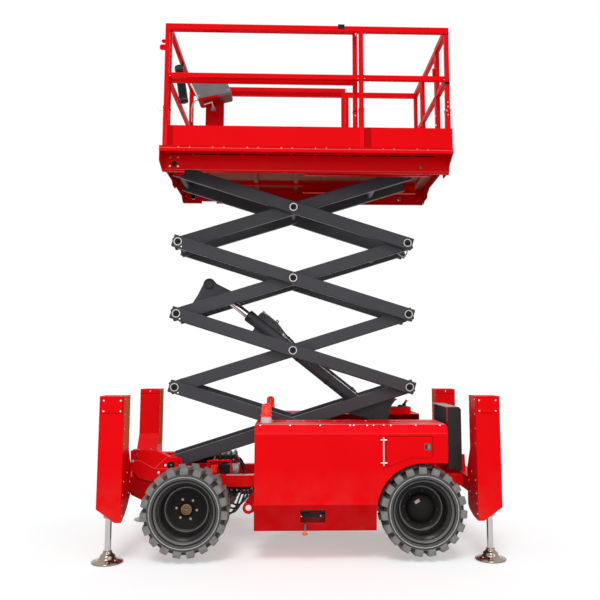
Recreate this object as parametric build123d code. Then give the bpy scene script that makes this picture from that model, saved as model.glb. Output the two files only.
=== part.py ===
from build123d import *
from math import cos, sin, tan, radians, atan2, degrees, hypot
import os

# Self-propelled scissor lift with outriggers: a four-stage scissor stack on a four-wheel chassis.
#
# Millimetres. +X is forward (the steered end), +Y the machine's left, +Z up.
# The origin is on the ground, midway between the outriggers. The stack is drawn half raised, with the
# machine standing on its outriggers. Heights below are measured from the wheels' lowest points, and
# save() lifts every piece by RAISED. Every sub-part goes to parts/NODE.step.

os.makedirs("parts", exist_ok=True)

# ---------------------------------------------------------------- driving dimensions
# scissor stack
STAGES = 4
ARM_LENGTH = 2192.5        # pin to pin
REST_ANGLE = 17.35         # degrees above level, as drawn
PIVOT_X = 1114.0           # fixed pivots, at the front
PIVOT_Z = 662.0            # lowest pivots above the ground
ARM_DEPTH = 112.0
ARM_WIDTH = 50.0
ARM_END = 50.0             # arm beyond its end pin
ARM_CORNER = 5.0           # cut corner of an arm's end
OUTER_FACE = 300.0         # outer face of the outer arms, from the centre line
ARM_GAP = 7.0              # between an outer and an inner arm
SHAFT_R = 30.0
RUNNING = 0.3              # radial clearance of a bore on its shaft
COLLAR_R = 43.0
COLLAR_T = 7.0
BOSS_T = 14.0
TUBE_R = 34.0
TUBE_AT = 786.0            # cross tubes of the inner arms, from the centre pin
FRONT_TUBE_TOP = 950.0     # the same on the top stage, where the lift cylinder passes

# lift cylinder
EYE_ALONG = 340.0          # cylinder pins, along the arm from its end pin
EYE_OFF = 196.0            # and square to the arm
EAR_GAP = 132.0            # between the two bracket plates
EAR_T = 14.0
EAR_R = 56.0
BARREL_R = 54.0
BARREL_BORE = 46.0
ROD_R = 34.0
ROD_SHOWN = 460.0          # from the rod eye's centre to the end of the barrel
ROD_INSIDE = 1020.0        # more than the stroke that is left
EYE_R = 46.0
EYE_PIN_R = 25.0
PIPE_R = 12.0

# slide shoes and their channels
SHOE_LENGTH = 92.0
SHOE_HEIGHT = 58.0
SHOE_GAP = 1.5
SHOE_PIN_R = 22.0
CHANNEL_Y = 306.0          # inner edge of the channel's flanges
CHANNEL_DEPTH = 55.0
CHANNEL_T = 8.0
CHANNEL_BACK = -1172.0     # x of the channel's two ends
CHANNEL_FRONT = -28.0
PIVOT_PLATE_Y = 306.0      # plates that hold the fixed pivots
PIVOT_PLATE_T = 12.0

# chassis
WHEEL_R = 350.0
WHEEL_WIDTH = 300.0
WHEEL_FACE = 875.0         # outer face of a wheel, from the centre line
FRONT_AXLE_X = 926.0
REAR_AXLE_X = -985.0
KINGPIN_Y = 512.0
BEAM_Y = 306.0             # main beams
BEAM_WIDTH = 74.0
BEAM_Z = (470.0, 565.0)
SHEET = 6.0
COVER_FACE = 875.0
COVER_X = (-1181.0, 374.0)
COVER_Z = (205.0, 1035.0)
COVER_INNER = 352.0
SILL_FOLD_Z = 409.0        # the covers' walls lean inward below this
SILL_TUCK = 30.0
ARCH_R = 380.0

# outriggers
RAISED = 45.0              # the wheels' clearance above the ground, standing on the pads
LEG_X = 1535.0
LEG_Y = 770.0
HOUSING_X = (1415.0, 1611.0)
HOUSING_Y = (665.0, 884.0)
HOUSING_TOP = 1264.0
LEG_R = 26.0
PAD_R = 125.0

# platform
DECK_TOP = 3362.0
DECK_T = 5.0
DECK_X = (-1305.0, 1215.0)
DECK_HALF = 780.0
TRAY_HALF = 618.0          # side plates under the deck
TRAY_BOTTOM = 3185.0
RAIL_X = (-1288.0, 1187.0)
RAIL_TOP = 4464.0
RAIL_H = 50.0
RAIL_W = 40.0
MID_RAIL_Z = 3998.0
TOE_TOP = 3549.0
POST_X = (1168.0, -515.0, -1269.0)
EXT_HALF = 705.0           # outer face of the extension's side rails
EXT_X = (-492.0, 1187.0)
GATE_HALF = 345.0
GATE_HINGE = (-1236.0, 343.5)
HINGES_Z = (3640.0, 4240.0)
HINGE_HALF = 34.0
HINGE_R = 8.0

# ---------------------------------------------------------------- worked out
ANGLE = radians(REST_ANGLE)
RISE = ARM_LENGTH * sin(ANGLE)      # of one stage
RUN = ARM_LENGTH * cos(ANGLE)
INNER_FACE = OUTER_FACE - ARM_WIDTH - ARM_GAP     # outer face of the inner arms
INNER_SIDE = INNER_FACE - ARM_WIDTH
OUTER_SIDE = OUTER_FACE - ARM_WIDTH               # inner face of the outer arms
SHOE_PIN_END = CHANNEL_Y + CHANNEL_DEPTH - CHANNEL_T - 4
SIDES = (1, -1)


def front_pin(k):
    return PIVOT_X, PIVOT_Z + k * RISE


def rear_pin(k):
    return PIVOT_X - RUN, PIVOT_Z + k * RISE


PIVOT_TOP_Z = front_pin(STAGES)[1]


def centre_pin(stage):
    return PIVOT_X - RUN / 2, PIVOT_Z + (stage - 0.5) * RISE


# ---------------------------------------------------------------- helpers
def block(x, y, z):
    """A box from its (low, high) pairs, in any order."""
    spans = [sorted(pair) for pair in (x, y, z)]
    size = [high - low for low, high in spans]
    middle = [(high + low) / 2 for low, high in spans]
    return Pos(*middle) * Box(*size)


def bar_y(x, z, y0, y1, r):
    return Pos(x, (y0 + y1) / 2, z) * Rot(90, 0, 0) * Cylinder(r, abs(y1 - y0))


def bar_x(y, z, x0, x1, r):
    return Pos((x0 + x1) / 2, y, z) * Rot(0, 90, 0) * Cylinder(r, abs(x1 - x0))


def bar_z(x, y, z0, z1, r):
    return Pos(x, y, (z0 + z1) / 2) * Cylinder(r, abs(z1 - z0))


def sheet_xz(points, y0, y1):
    """An outline in X and Z, y0 to y1."""
    face = make_face(Polyline(*[(x, y0, z) for x, z in points], close=True))
    return extrude(face, amount=abs(y1 - y0), dir=(0, 1 if y1 > y0 else -1, 0))


def sheet_yz(points, x0, x1):
    """An outline in Y and Z, x0 to x1."""
    face = make_face(Polyline(*[(x0, y, z) for y, z in points], close=True))
    return extrude(face, amount=abs(x1 - x0), dir=(1 if x1 > x0 else -1, 0, 0))


def sheet_xy(points, z0, z1):
    """An outline in X and Y, z0 to z1."""
    face = make_face(Polyline(*[(x, y, z0) for x, y in points], close=True))
    return extrude(face, amount=abs(z1 - z0), dir=(0, 0, 1 if z1 > z0 else -1))


def turned(profile, x, y_sign, z):
    """A solid of revolution about a line along Y: profile is (radius, distance from the centre line)."""
    points = [(x + r, y_sign * y, z) for r, y in profile]
    face = make_face(Polyline(*points, close=True))
    return revolve(face, Axis((x, 0, z), (0, 1, 0)), 360)


def spun(profile, x, y):
    """A solid of revolution about a vertical line: profile is (radius, height)."""
    face = make_face(Polyline(*[(x + r, y, h) for r, h in profile], close=True))
    return revolve(face, Axis((x, y, 0), (0, 0, 1)), 360)


def pipe(points, r):
    """A round pipe through the points, with ball corners."""
    run = None
    for a, b in zip(points, points[1:]):
        length = (Vector(*b) - Vector(*a)).length
        piece = Plane(origin=a, z_dir=Vector(*b) - Vector(*a)) * Pos(0, 0, length / 2) * Cylinder(r, length)
        if b != points[-1]:
            piece += Pos(*b) * Sphere(r)
        run = piece if run is None else run + piece
    return run


def mirrored(shape):
    return mirror(shape, Plane.XZ)


def save(name, *shapes):
    solids = [Pos(0, 0, RAISED) * solid for shape in shapes for solid in shape.solids()]
    export_step(Compound(children=solids), f"parts/{name}.step")


# ---------------------------------------------------------------- scissor arms
class ArmLine:
    """Places things on one arm: s runs from its lower end pin, t is square to it, upward."""

    def __init__(self, lower_pin, upper_pin):
        self.origin = lower_pin
        dx, dz = upper_pin[0] - lower_pin[0], upper_pin[1] - lower_pin[1]
        length = hypot(dx, dz)
        self.along = (dx / length, dz / length)
        self.up = (-self.along[1], self.along[0]) if dx > 0 else (self.along[1], -self.along[0])

    def at(self, s, t=0.0):
        return (self.origin[0] + s * self.along[0] + t * self.up[0],
                self.origin[1] + s * self.along[1] + t * self.up[1])


def arm(line, y0, y1):
    """One closed box-section arm, with its ends' corners cut."""
    half, low, high, c = ARM_DEPTH / 2, -ARM_END, ARM_LENGTH + ARM_END, ARM_CORNER
    outline = [(low, half - c), (low + c, half), (high - c, half), (high, half - c),
               (high, c - half), (high - c, -half), (low + c, -half), (low, c - half)]
    return sheet_xz([line.at(s, t) for s, t in outline], y0, y1)


def inner_arms(line, carries_shoes):
    """Left and right inner arm, with bushed bosses that run on the outer arms' shafts."""
    arms = []
    for side in SIDES:
        piece = arm(line, side * INNER_SIDE, side * INNER_FACE)
        for s in (0, ARM_LENGTH / 2, ARM_LENGTH):
            x, z = line.at(s)
            if s == ARM_LENGTH and carries_shoes:
                piece += bar_y(x, z, side * INNER_FACE, side * SHOE_PIN_END, SHOE_PIN_R)
                piece += bar_y(x, z, side * INNER_FACE, side * CHANNEL_Y, COLLAR_R - 8)
                continue
            piece += bar_y(x, z, side * (INNER_SIDE - BOSS_T), side * INNER_SIDE, COLLAR_R + 6)
            piece -= bar_y(x, z, side * (INNER_SIDE - BOSS_T - 1), side * (INNER_FACE + 1), SHAFT_R + RUNNING)
        arms.append(piece)
    return arms


def outer_arms(line):
    """Left and right outer arm, with a collar over each shaft's end."""
    arms = []
    for side in SIDES:
        piece = arm(line, side * OUTER_SIDE, side * OUTER_FACE)
        for s in (0, ARM_LENGTH / 2, ARM_LENGTH):
            x, z = line.at(s)
            if (s == 0 and line.origin == rear_pin(0)) or (s == ARM_LENGTH and line.origin == rear_pin(STAGES - 1)):
                continue                       # the shoe's pin or the platform's pivot is here
            piece += bar_y(x, z, side * OUTER_FACE, side * (OUTER_FACE + COLLAR_T), COLLAR_R)
            piece -= bar_y(x, z, side * (OUTER_FACE + 1), side * (OUTER_FACE + COLLAR_T + 1), SHAFT_R)
        arms.append(piece)
    return arms


def shoulder_shaft(x, z, y0, y1):
    """A shaft between the outer arms, or a stub of one, with the washers that space the inner arms."""
    shaft = bar_y(x, z, y0, y1, SHAFT_R)
    for side in SIDES:
        if max(y0, y1) * side > INNER_FACE or min(y0, y1) * side > INNER_FACE:
            shaft += bar_y(x, z, side * (INNER_FACE + 1), side * OUTER_SIDE, COLLAR_R)
    return shaft


def outer_shafts(stage, line):
    """The shafts that join the two outer arms of one stage."""
    shafts = []
    for s in (0, ARM_LENGTH):
        x, z = line.at(s)
        shafts.append(shoulder_shaft(x, z, -OUTER_SIDE, OUTER_SIDE))
    x, z = line.at(ARM_LENGTH / 2)
    if stage == 2:                             # the lift cylinder passes between two stubs
        stub = INNER_SIDE - BOSS_T - 2
        shafts += [shoulder_shaft(x, z, side * stub, side * OUTER_SIDE) for side in SIDES]
    else:
        shafts.append(shoulder_shaft(x, z, -OUTER_SIDE, OUTER_SIDE))
    if stage == 1:                             # pins of the lower slide shoes
        x, z = line.at(0)
        shafts += [bar_y(x, z, side * OUTER_FACE, side * SHOE_PIN_END, SHOE_PIN_R) for side in SIDES]
    if stage == STAGES:                        # pins of the platform's fixed pivots
        x, z = line.at(ARM_LENGTH)
        shafts += [bar_y(x, z, side * OUTER_FACE, side * (PIVOT_PLATE_Y + PIVOT_PLATE_T + 6), SHOE_PIN_R)
                   for side in SIDES]
    return shafts


def cylinder_bracket(line, from_upper_end, side_up):
    """Two gusset ears with a cross tube and tie webs, for one end of the lift cylinder."""
    def at(s, t):
        return line.at(ARM_LENGTH - s if from_upper_end else s, t * side_up)
    px, pz = at(EYE_ALONG, EYE_OFF)
    inner, outer, half = EAR_GAP / 2, EAR_GAP / 2 + EAR_T, ARM_DEPTH / 2
    tube_x, tube_z = at(80, 26)
    bracket = bar_y(tube_x, tube_z, -INNER_SIDE, INNER_SIDE, TUBE_R - 10)
    back = [(515, 78), (545, 50), (600, 10 - half), (100, 10 - half), (60, 0)]
    front = [(60, 50), (115, 50), (153, 82), (211, 133), (254, 179), (EYE_ALONG - 50, EYE_OFF + 19)]
    if from_upper_end:                         # the lower bracket is broader
        back = [(450, 157), (595, 68), (620, 50), (620, 10 - half), (100, 10 - half), (60, 0)]
        front = [(60, 50), (118, 50), (139, 98), (177, 125), (208, 162), (232, EYE_OFF + 19), (262, EYE_OFF + 50)]
    outline = front + [(EYE_ALONG, EYE_OFF + 19), (EYE_ALONG + 34, EYE_OFF + 18)] + back
    for side in SIDES:
        ear = sheet_xz([at(s, t) for s, t in outline], side * inner, side * outer)
        ear += bar_y(px, pz, side * inner, side * outer, EAR_R)
        ear += bar_y(px, pz, side * outer, side * (outer + 12), EAR_R - 14)
        web = sheet_xz([at(s, t) for s, t in [(150, half - 12), (540, half - 12), (540, half), (150, half)]],
                       side * outer, side * INNER_SIDE)
        bracket += ear + web
    return bracket


def inner_tubes(stage, line):
    """The cross tubes that join the two inner arms of one stage, and the cylinder's brackets."""
    middle = ARM_LENGTH / 2
    places = {1: [middle - TUBE_AT], 2: [middle - TUBE_AT, middle + TUBE_AT], 3: [middle + TUBE_AT],
              4: [middle - FRONT_TUBE_TOP, middle + TUBE_AT]}[stage]
    tubes = [bar_y(*line.at(s), -INNER_SIDE, INNER_SIDE, TUBE_R) for s in places]
    if stage == 1:
        tubes.append(cylinder_bracket(line, True, -1))
    if stage == 3:
        tubes.append(cylinder_bracket(line, False, 1))
    return tubes


for stage in range(1, STAGES + 1):
    inner_line = ArmLine(front_pin(stage - 1), rear_pin(stage))
    outer_line = ArmLine(rear_pin(stage - 1), front_pin(stage))
    save(f"inner_arms_{stage}", *inner_arms(inner_line, stage == STAGES))
    save(f"inner_tubes_{stage}", *inner_tubes(stage, inner_line))
    save(f"outer_arms_{stage}", *outer_arms(outer_line))
    save(f"outer_shafts_{stage}", *outer_shafts(stage, outer_line))


# ---------------------------------------------------------------- slide shoes
def shoes(x, z):
    """A pair of sliding blocks on their pins."""
    pair = []
    for side in SIDES:
        y0, y1 = side * (CHANNEL_Y + 2), side * (CHANNEL_Y + CHANNEL_DEPTH - CHANNEL_T - 2)
        shoe = block((x - SHOE_LENGTH / 2, x + SHOE_LENGTH / 2), (y0, y1),
                     (z - SHOE_HEIGHT / 2, z + SHOE_HEIGHT / 2))
        pair.append(shoe - bar_y(x, z, side * 200, side * 400, SHOE_PIN_R + RUNNING))
    return pair


def channel(z, side):
    """A slide channel, open toward the centre line."""
    half = SHOE_HEIGHT / 2 + SHOE_GAP
    y0, y1 = side * CHANNEL_Y, side * (CHANNEL_Y + CHANNEL_DEPTH)
    outer = block((CHANNEL_BACK, CHANNEL_FRONT), (y0, y1), (z - half - CHANNEL_T, z + half + CHANNEL_T))
    return outer - block((CHANNEL_BACK - 1, CHANNEL_FRONT + 1),
                         (y0 - side, y1 - side * CHANNEL_T), (z - half, z + half))


save("lower_slide_shoes", *shoes(*rear_pin(0)))
save("upper_slide_shoes", *shoes(*rear_pin(STAGES)))


# ---------------------------------------------------------------- lift cylinder
def lift_cylinder():
    lower = ArmLine(front_pin(0), rear_pin(1)).at(ARM_LENGTH - EYE_ALONG, -EYE_OFF)
    upper = ArmLine(front_pin(2), rear_pin(3)).at(EYE_ALONG, EYE_OFF)
    dx, dz = upper[0] - lower[0], upper[1] - lower[1]
    length = hypot(dx, dz)
    tilt = degrees(atan2(dx, dz))              # from vertical, toward +X
    eye_half = EAR_GAP / 2 - 6

    place = Pos(lower[0], 0, lower[1]) * Rot(0, tilt, 0)      # local +Z runs up the cylinder
    barrel_end = length - ROD_SHOWN
    barrel = Pos(0, 0, (EYE_R + barrel_end) / 2) * Cylinder(BARREL_R, barrel_end - EYE_R)
    barrel += Pos(0, 0, barrel_end - 40) * Cylinder(BARREL_R + 2, 80)
    barrel += Rot(90, 0, 0) * Cylinder(EYE_R + 8, 2 * eye_half)
    barrel -= Pos(0, 0, (90 + barrel_end - 40) / 2) * Cylinder(BARREL_BORE, barrel_end - 130)
    barrel -= Pos(0, 0, barrel_end) * Cylinder(ROD_R + RUNNING, 200)
    barrel += Rot(90, 0, 0) * Cylinder(EYE_PIN_R, EAR_GAP - 2 * RUNNING)
    # valve housing that hugs the barrel's upper side, and the pipe that runs down from it
    valve = [(BARREL_R - 6, 76), (BARREL_R + 34, 78), (BARREL_R + 52, 100), (BARREL_R + 60, 150), (BARREL_R + 58, 240),
             (BARREL_R + 48, 310), (BARREL_R + 26, 358), (BARREL_R - 6, 372)]
    barrel += sheet_xz([(-r, barrel_end - z) for r, z in valve], -40, 40)
    top, side = -(BARREL_R + PIPE_R + 2), (-38, 58)
    for z in (340, 700, 1100):
        barrel += Pos(top, 0, z) * Cylinder(PIPE_R + 5, 26)
        barrel -= Pos(top, 0, z) * Cylinder(PIPE_R + RUNNING, 30)
    route = [(top, 0, 300), (top, 0, 820), (-60, 38, 850), (*side, 880), (*side, 1000), (-60, 38, 1030), (top, 0, 1060),
             (top, 0, barrel_end - 373)]
    # the plate under the barrel that carries the hose clamps
    prop = [(BARREL_R - 6, 118), (BARREL_R + 62, 128), (BARREL_R + 62, 330), (BARREL_R + 30, 420), (BARREL_R - 6, 420)]
    barrel += sheet_xz([(r, barrel_end - z) for r, z in prop], -16, 16)
    save("lift_cylinder_barrel", place * barrel, place * pipe(route, PIPE_R))

    rod_start = barrel_end - ROD_INSIDE
    rod = Pos(0, 0, (rod_start + length - EYE_R + 4) / 2) * Cylinder(ROD_R, length - EYE_R + 4 - rod_start)
    rod += Pos(0, 0, length) * Rot(90, 0, 0) * Cylinder(EYE_R, 2 * eye_half)
    save("lift_cylinder_rod", place * rod)


lift_cylinder()


# ---------------------------------------------------------------- chassis
def main_beams():
    """Two main beams, with channel risers on top and axle saddles beneath."""
    z0, z1 = BEAM_Z
    riser_top = PIVOT_Z - SHOE_HEIGHT / 2 - SHOE_GAP - CHANNEL_T
    beams = []
    for side in SIDES:
        y0, y1 = side * BEAM_Y, side * (BEAM_Y + BEAM_WIDTH)
        beam = block((-CROSS_X, CROSS_X), (y0, y1), (z0, z1))
        beam += block((CHANNEL_BACK, CHANNEL_FRONT), (y0, side * (CHANNEL_Y + CHANNEL_DEPTH)), (z1, riser_top))
        for axle_x in (FRONT_AXLE_X, REAR_AXLE_X):
            beam += block((axle_x - 70, axle_x + 70), (y0, y1), (WHEEL_R + 55, z0))
        # the deep plate from the front end member down to the axle
        neck = [(CROSS_X, z0), (CROSS_X, z0 - 15), (CROSS_X + 33, z0 - 15), (CROSS_X + 33, 408), (1358, 362), (1250, 310),
                (1080, 300), (1010, 330), (FRONT_AXLE_X + 70, z0 - 60), (FRONT_AXLE_X + 70, z0)]
        beam += sheet_xz(neck, side * (BEAM_Y + BEAM_WIDTH - 12), y1)
        beams.append(beam)
    return beams


def cross_members():
    """Three members between the beams, and one across each end that carries two outriggers."""
    z0, z1 = BEAM_Z
    members = [block((x, x + 80), (-BEAM_Y, BEAM_Y), (z0 + 5, z1 - 10)) for x in (560, -380, -1320)]
    for end in SIDES:
        members.append(block((end * CROSS_X, end * (CROSS_X + 140)), (-HOUSING_LOW_Y, HOUSING_LOW_Y), (z0 - 15, z1 + 10)))
    # two upright lugs behind the steps
    for y in (-160, 60):
        members[-1] += sheet_xz([(-1455, z1 + 5), (-1524, z1 + 5), (-1518, 698), (-1484, 698), (-1455, 650)], y - 5, y + 5)
    return members


CROSS_X = HOUSING_X[0] + 5  # inner face of the two end members
HOUSING_LOW_Y = 560.0       # the lower part of a housing reaches this far inward
TIE_R = 17.0

def pivot_boxes():
    """The two boxes that carry the lowest scissor pivots: an inner and an outer plate, a lid and the pin."""
    tops = {1: [(1066, 714), (1126, 722), (1239, 779), (1446, 784), (1461, 775)],
            -1: [(1066, 700), (1090, 704), (1136, 704), (1200, 676), (1446, 676), (1458, 668)]}
    boxes = []
    for side in SIDES:
        top_line = tops[side]
        inner = [(1030, BEAM_Z[1]), (1030, 690)] + top_line + [(1458, BEAM_Z[1] + 10), (CROSS_X, BEAM_Z[1] + 10),
                                                                (CROSS_X, BEAM_Z[1])]
        outer = [(1053, 635), (1050, 692)] + top_line + [(1456, 619), (CROSS_X - 1, 583), (1378, 543), (1275, 518), (1194, 540)]
        y0, y1 = side * PIVOT_PLATE_Y, side * (PIVOT_PLATE_Y + PIVOT_PLATE_T)
        y2, y3 = side * (BEAM_Y + BEAM_WIDTH), side * (BEAM_Y + BEAM_WIDTH + PIVOT_PLATE_T)
        piece = sheet_xz(inner, y0, y1) + sheet_xz(outer, y2, y3)
        for (xa, za), (xb, zb) in zip(top_line[1:], top_line[2:]):
            piece += sheet_xz([(xa, za), (xb, zb), (xb, zb - 10), (xa, za - 10)], y1, y2)
        piece += bar_y(PIVOT_X, PIVOT_Z, y1, y2, 42)
        if side == 1:                          # tie-down slot
            for z in (726, 754):
                piece -= bar_y(1409, z, y0 - side, y3 + side, TIE_R)
            piece -= block((1409 - TIE_R, 1409 + TIE_R), (y0 - side, y3 + side), (726, 754))
        piece += bar_y(PIVOT_X, PIVOT_Z, side * (INNER_SIDE - BOSS_T), y3 + side * 8, SHAFT_R)
        piece += bar_y(PIVOT_X, PIVOT_Z, side * (INNER_FACE + 1), y0, COLLAR_R)
        boxes.append(piece)
    return boxes


def cover(side):
    """A hollow side cover: chamfered top edge, tucked-in sill, wheel arch, door opening and towing lug."""
    face, inner = COVER_FACE, COVER_INNER
    low, high = COVER_Z
    outline = [(inner, high), (face - 32, high), (face, high - 72), (face, SILL_FOLD_Z), (face - SILL_TUCK, low)]
    hollow = [(inner - 5, high - SHEET), (face - 32 - 3, high - SHEET), (face - SHEET, high - 74), (face - SHEET, SILL_FOLD_Z),
              (face - SILL_TUCK - SHEET, low - 5), (inner - 5, low - 5)]
    x0, x1 = COVER_X
    shell = sheet_yz([(side * y, z) for y, z in outline + [(inner, low)]], x0, x1)
    shell -= sheet_yz([(side * y, z) for y, z in hollow], x0 + SHEET, x1 - SHEET)
    arch = bar_y(REAR_AXLE_X, WHEEL_R, side * (inner - 10), side * (face + 10), ARCH_R)
    arch += block((x0 - 5, REAR_AXLE_X), (side * (inner - 10), side * (face + 10)), (low - 5, 730))
    arch += block((x0 - 5, REAR_AXLE_X + ARCH_R), (side * (inner - 10), side * (face + 10)), (low - 5, WHEEL_R))
    shell -= arch
    # the end walls stop short of the main beams
    shell -= block((x0 - 5, x1 + 5), (side * (inner - 5), side * (BEAM_Y + BEAM_WIDTH + 6)), (low - 5, BEAM_Z[1] + 150))
    shell -= block((-194, 6), (side * (face - 60), side * (face + 10)), (268, 370))
    shell -= sheet_xz(DOOR, side * (face - 2 * SHEET), side * (face + 5))
    for z0, z1 in ((HINGE_Z[0] - 8, HINGE_Z[0]), (HINGE_Z[1], HINGE_Z[1] + 8)):
        shell += block((HINGE_X - 9, HINGE_X + 9), (side * face, side * (HINGE_Y + 9)), (z0, z1))
    # towing lug on the front wall
    y0, y1 = side * 556, side * 572
    lug = sheet_xz([(x1, 300), (x1, 424), (395, 424), (470, 363), (436, 287)], y0, y1) + bar_y(*LUG_HOLE, y0, y1, 44)
    return shell + (lug - bar_y(*LUG_HOLE, y0 - side, y1 + side, LUG_R))


LUG_HOLE = (434.0, 329.0)
LUG_R = 25.0
DOOR = [(-683, 701), (-737, 716), (-791, 737), (-846, 758), (-900, 770), (-1045, 770), (-1062, 787), (-1062, 943),
        (-683, 943)]
DOOR_GAP = 3.0
HINGE_X = -662.0
HINGE_Y = COVER_FACE + 9.0
HINGE_Z = (712.0, 940.0)


def service_door(side):
    """A flap in the cover on a hinge rod, its lower edge following the wheel arch."""
    y0, y1 = side * (COVER_FACE - 4), side * COVER_FACE
    door = extrude(offset(make_face(Polyline(*[(x, y0, z) for x, z in DOOR], close=True)), amount=-DOOR_GAP,
                          kind=Kind.INTERSECTION), amount=4, dir=(0, side, 0))
    door += bar_z(HINGE_X, side * HINGE_Y, HINGE_Z[0] + RUNNING, HINGE_Z[1] - RUNNING, 7)
    for z in (728, 908):
        door += block((HINGE_X - 40, HINGE_X - 28), (side * (COVER_FACE - 4), side * (HINGE_Y + 4)), (z, z + 16))
        door += block((HINGE_X - 40, HINGE_X), (side * (COVER_FACE + 2), side * (HINGE_Y + 4)), (z, z + 16))
    return door


def side_trays():
    """The floors inside the covers, bolted to the main beams."""
    trays = []
    for side in SIDES:
        beam_face = BEAM_Y + BEAM_WIDTH
        wall = block((-590, 350), (side * beam_face, side * (beam_face + SHEET)), (240, BEAM_Z[1]))
        lean = SILL_TUCK * (SILL_FOLD_Z - 234) / (SILL_FOLD_Z - COVER_Z[0] + 5)     # of the cover's wall at this height
        floor = block((-590, 350), (side * beam_face, side * (COVER_FACE - SHEET - lean - RUNNING)), (234, 240))
        trays.append(wall + floor)
    return trays


def outrigger_housing(end, side):
    """A tall folded-sheet box, deeper low down, with the leg's cylinder inside."""
    x0, x1 = HOUSING_X
    y0, y1 = HOUSING_Y
    top, t = HOUSING_TOP, SHEET
    low_y, hip_top, hip_low, foot = HOUSING_LOW_Y, 822.0, 657.0, 282.0
    under = [(low_y, 449), (660, 368), (750, 318)] if end == 1 else [(low_y, 352), (603, 323), (727, 290)]
    outline = [(y1, top), (y0, top), (y0, hip_top), (low_y, hip_low)] + under + [(851, foot), (y1, foot)]
    hollow = [(y1 - t, top - t), (y0 + t, top - t), (y0 + t, hip_top - 2), (low_y + t, hip_low - 2),
              (low_y + t, under[0][1] + 3), (under[1][0] + 1, under[1][1] + 7), (under[2][0] - 50, under[2][1] - 30),
              (851 - 8, foot - 10), (y1 - t, foot - 10)]
    box = sheet_yz([(side * y, z) for y, z in outline], end * x0, end * x1)
    box -= sheet_yz([(side * y, z) for y, z in hollow], end * (x0 + t), end * (x1 - t))
    # the outer lower corner is cut away
    corner = [(1462, 280), (1462, foot), (x1, 386), (x1 + 10, 386), (x1 + 10, 280)]
    box -= sheet_xz([(end * x, z) for x, z in corner], side * (low_y - 10), side * (y1 + 10))
    barrel = bar_z(end * LEG_X, side * LEG_Y, 400, top - t, LEG_R + 14)
    barrel -= bar_z(end * LEG_X, side * LEG_Y, 390, top - t - 20, LEG_R + RUNNING)
    return box + barrel


LEG_STROKE = 210.0


def outrigger_leg(end, side):
    """The chrome leg with its dished pad."""
    x, y = end * LEG_X, side * LEG_Y
    pad = [(0, 0), (PAD_R - 25, 0), (PAD_R, 9), (PAD_R, 14), (PAD_R - 22, 24), (62, 38), (50, 60), (40, 74), (0, 74)]
    leg = spun([(r, z - RAISED) for r, z in pad], x, y)
    return leg + bar_z(x, y, 70 - RAISED, HOUSING_TOP - SHEET - 30 - LEG_STROKE, LEG_R)


def axle_beams():
    """Front and rear axle, each saddled under the main beams."""
    axles = []
    for axle_x, half in ((FRONT_AXLE_X, KINGPIN_Y - 46), (REAR_AXLE_X, 560)):
        axle = block((axle_x - 50, axle_x + 50), (-half, half), (WHEEL_R - 55, WHEEL_R + 55))
        if axle_x == FRONT_AXLE_X:
            for side in SIDES:
                axle += block((axle_x - 38, axle_x + 38), (side * half, side * KINGPIN_Y), (WHEEL_R - 50, WHEEL_R + 50))
                axle += bar_z(axle_x, side * KINGPIN_Y, WHEEL_R - 50, WHEEL_R + 50, 42)
                axle -= bar_z(axle_x, side * KINGPIN_Y, WHEEL_R - 60, WHEEL_R + 60, KINGPIN_R + RUNNING)
        else:
            for side in SIDES:
                axle += bar_y(axle_x, WHEEL_R, side * half, side * DRUM_OUT, DRUM_R)
                axle += bar_y(axle_x, WHEEL_R, side * DRUM_OUT, side * SPINDLE_OUT, SPINDLE_R - RUNNING)
        axles.append(axle)
    return axles


KINGPIN_R = 20.0
DISC_IN = WHEEL_FACE - 181.0       # the wheel disc's two faces
DISC_OUT = WHEEL_FACE - 171.0
DRUM_R = 95.0
DRUM_OUT = DISC_IN - 2.0
SPINDLE_R = 45.0
SPINDLE_OUT = DISC_OUT + 14.0
STEER_ARM = 150.0
TIE_EYE_T = 28.0
TIE_PIN_R = 10.0


def knuckle(side):
    """A steering knuckle: fork and kingpin, hub motor and spindle, and the arm for the tie rod."""
    x, y = FRONT_AXLE_X, side * KINGPIN_Y
    back = side * (KINGPIN_Y + 48)
    piece = bar_z(x, y, WHEEL_R - 95, WHEEL_R + 95, KINGPIN_R)
    for z in (WHEEL_R + 58, WHEEL_R - 82):
        piece += bar_z(x, y, z, z + 24, 42)
        piece += block((x - 42, x + 42), (y, side * (KINGPIN_Y + 62)), (z, z + 24))
    piece += block((x - 70, x + 70), (back, side * (KINGPIN_Y + 62)), (WHEEL_R - 82, WHEEL_R + 82))
    piece += bar_y(x, WHEEL_R, side * (KINGPIN_Y + 62), side * DRUM_OUT, DRUM_R)
    piece += bar_y(x, WHEEL_R, side * DRUM_OUT, side * SPINDLE_OUT, SPINDLE_R - RUNNING)
    piece += block((x - STEER_ARM - 24, x - 30), (y - 24, y + 24), (WHEEL_R - 82, WHEEL_R - 66))
    piece += bar_z(x - STEER_ARM, y, WHEEL_R - 82 - TIE_EYE_T, WHEEL_R - 82, TIE_PIN_R)
    return piece


def tie_rod():
    """Links the two steering arms, under their pins."""
    x, top = FRONT_AXLE_X - STEER_ARM, WHEEL_R - 82 - RUNNING
    rod = bar_y(x, top - TIE_EYE_T / 2, -KINGPIN_Y, KINGPIN_Y, 11)
    for side in SIDES:
        rod += bar_z(x, side * KINGPIN_Y, top - TIE_EYE_T, top, 26)
    for side in SIDES:
        rod -= bar_z(x, side * KINGPIN_Y, top - TIE_EYE_T - 1, top + 1, TIE_PIN_R + RUNNING)
    return rod


# where the tyre sits on the rim: (radius, distance in from the wheel's face)
BEAD_SEAT = [(252, 20), (243, 34), (215, 62), (215, 236), (243, 270), (252, 284)]


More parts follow.
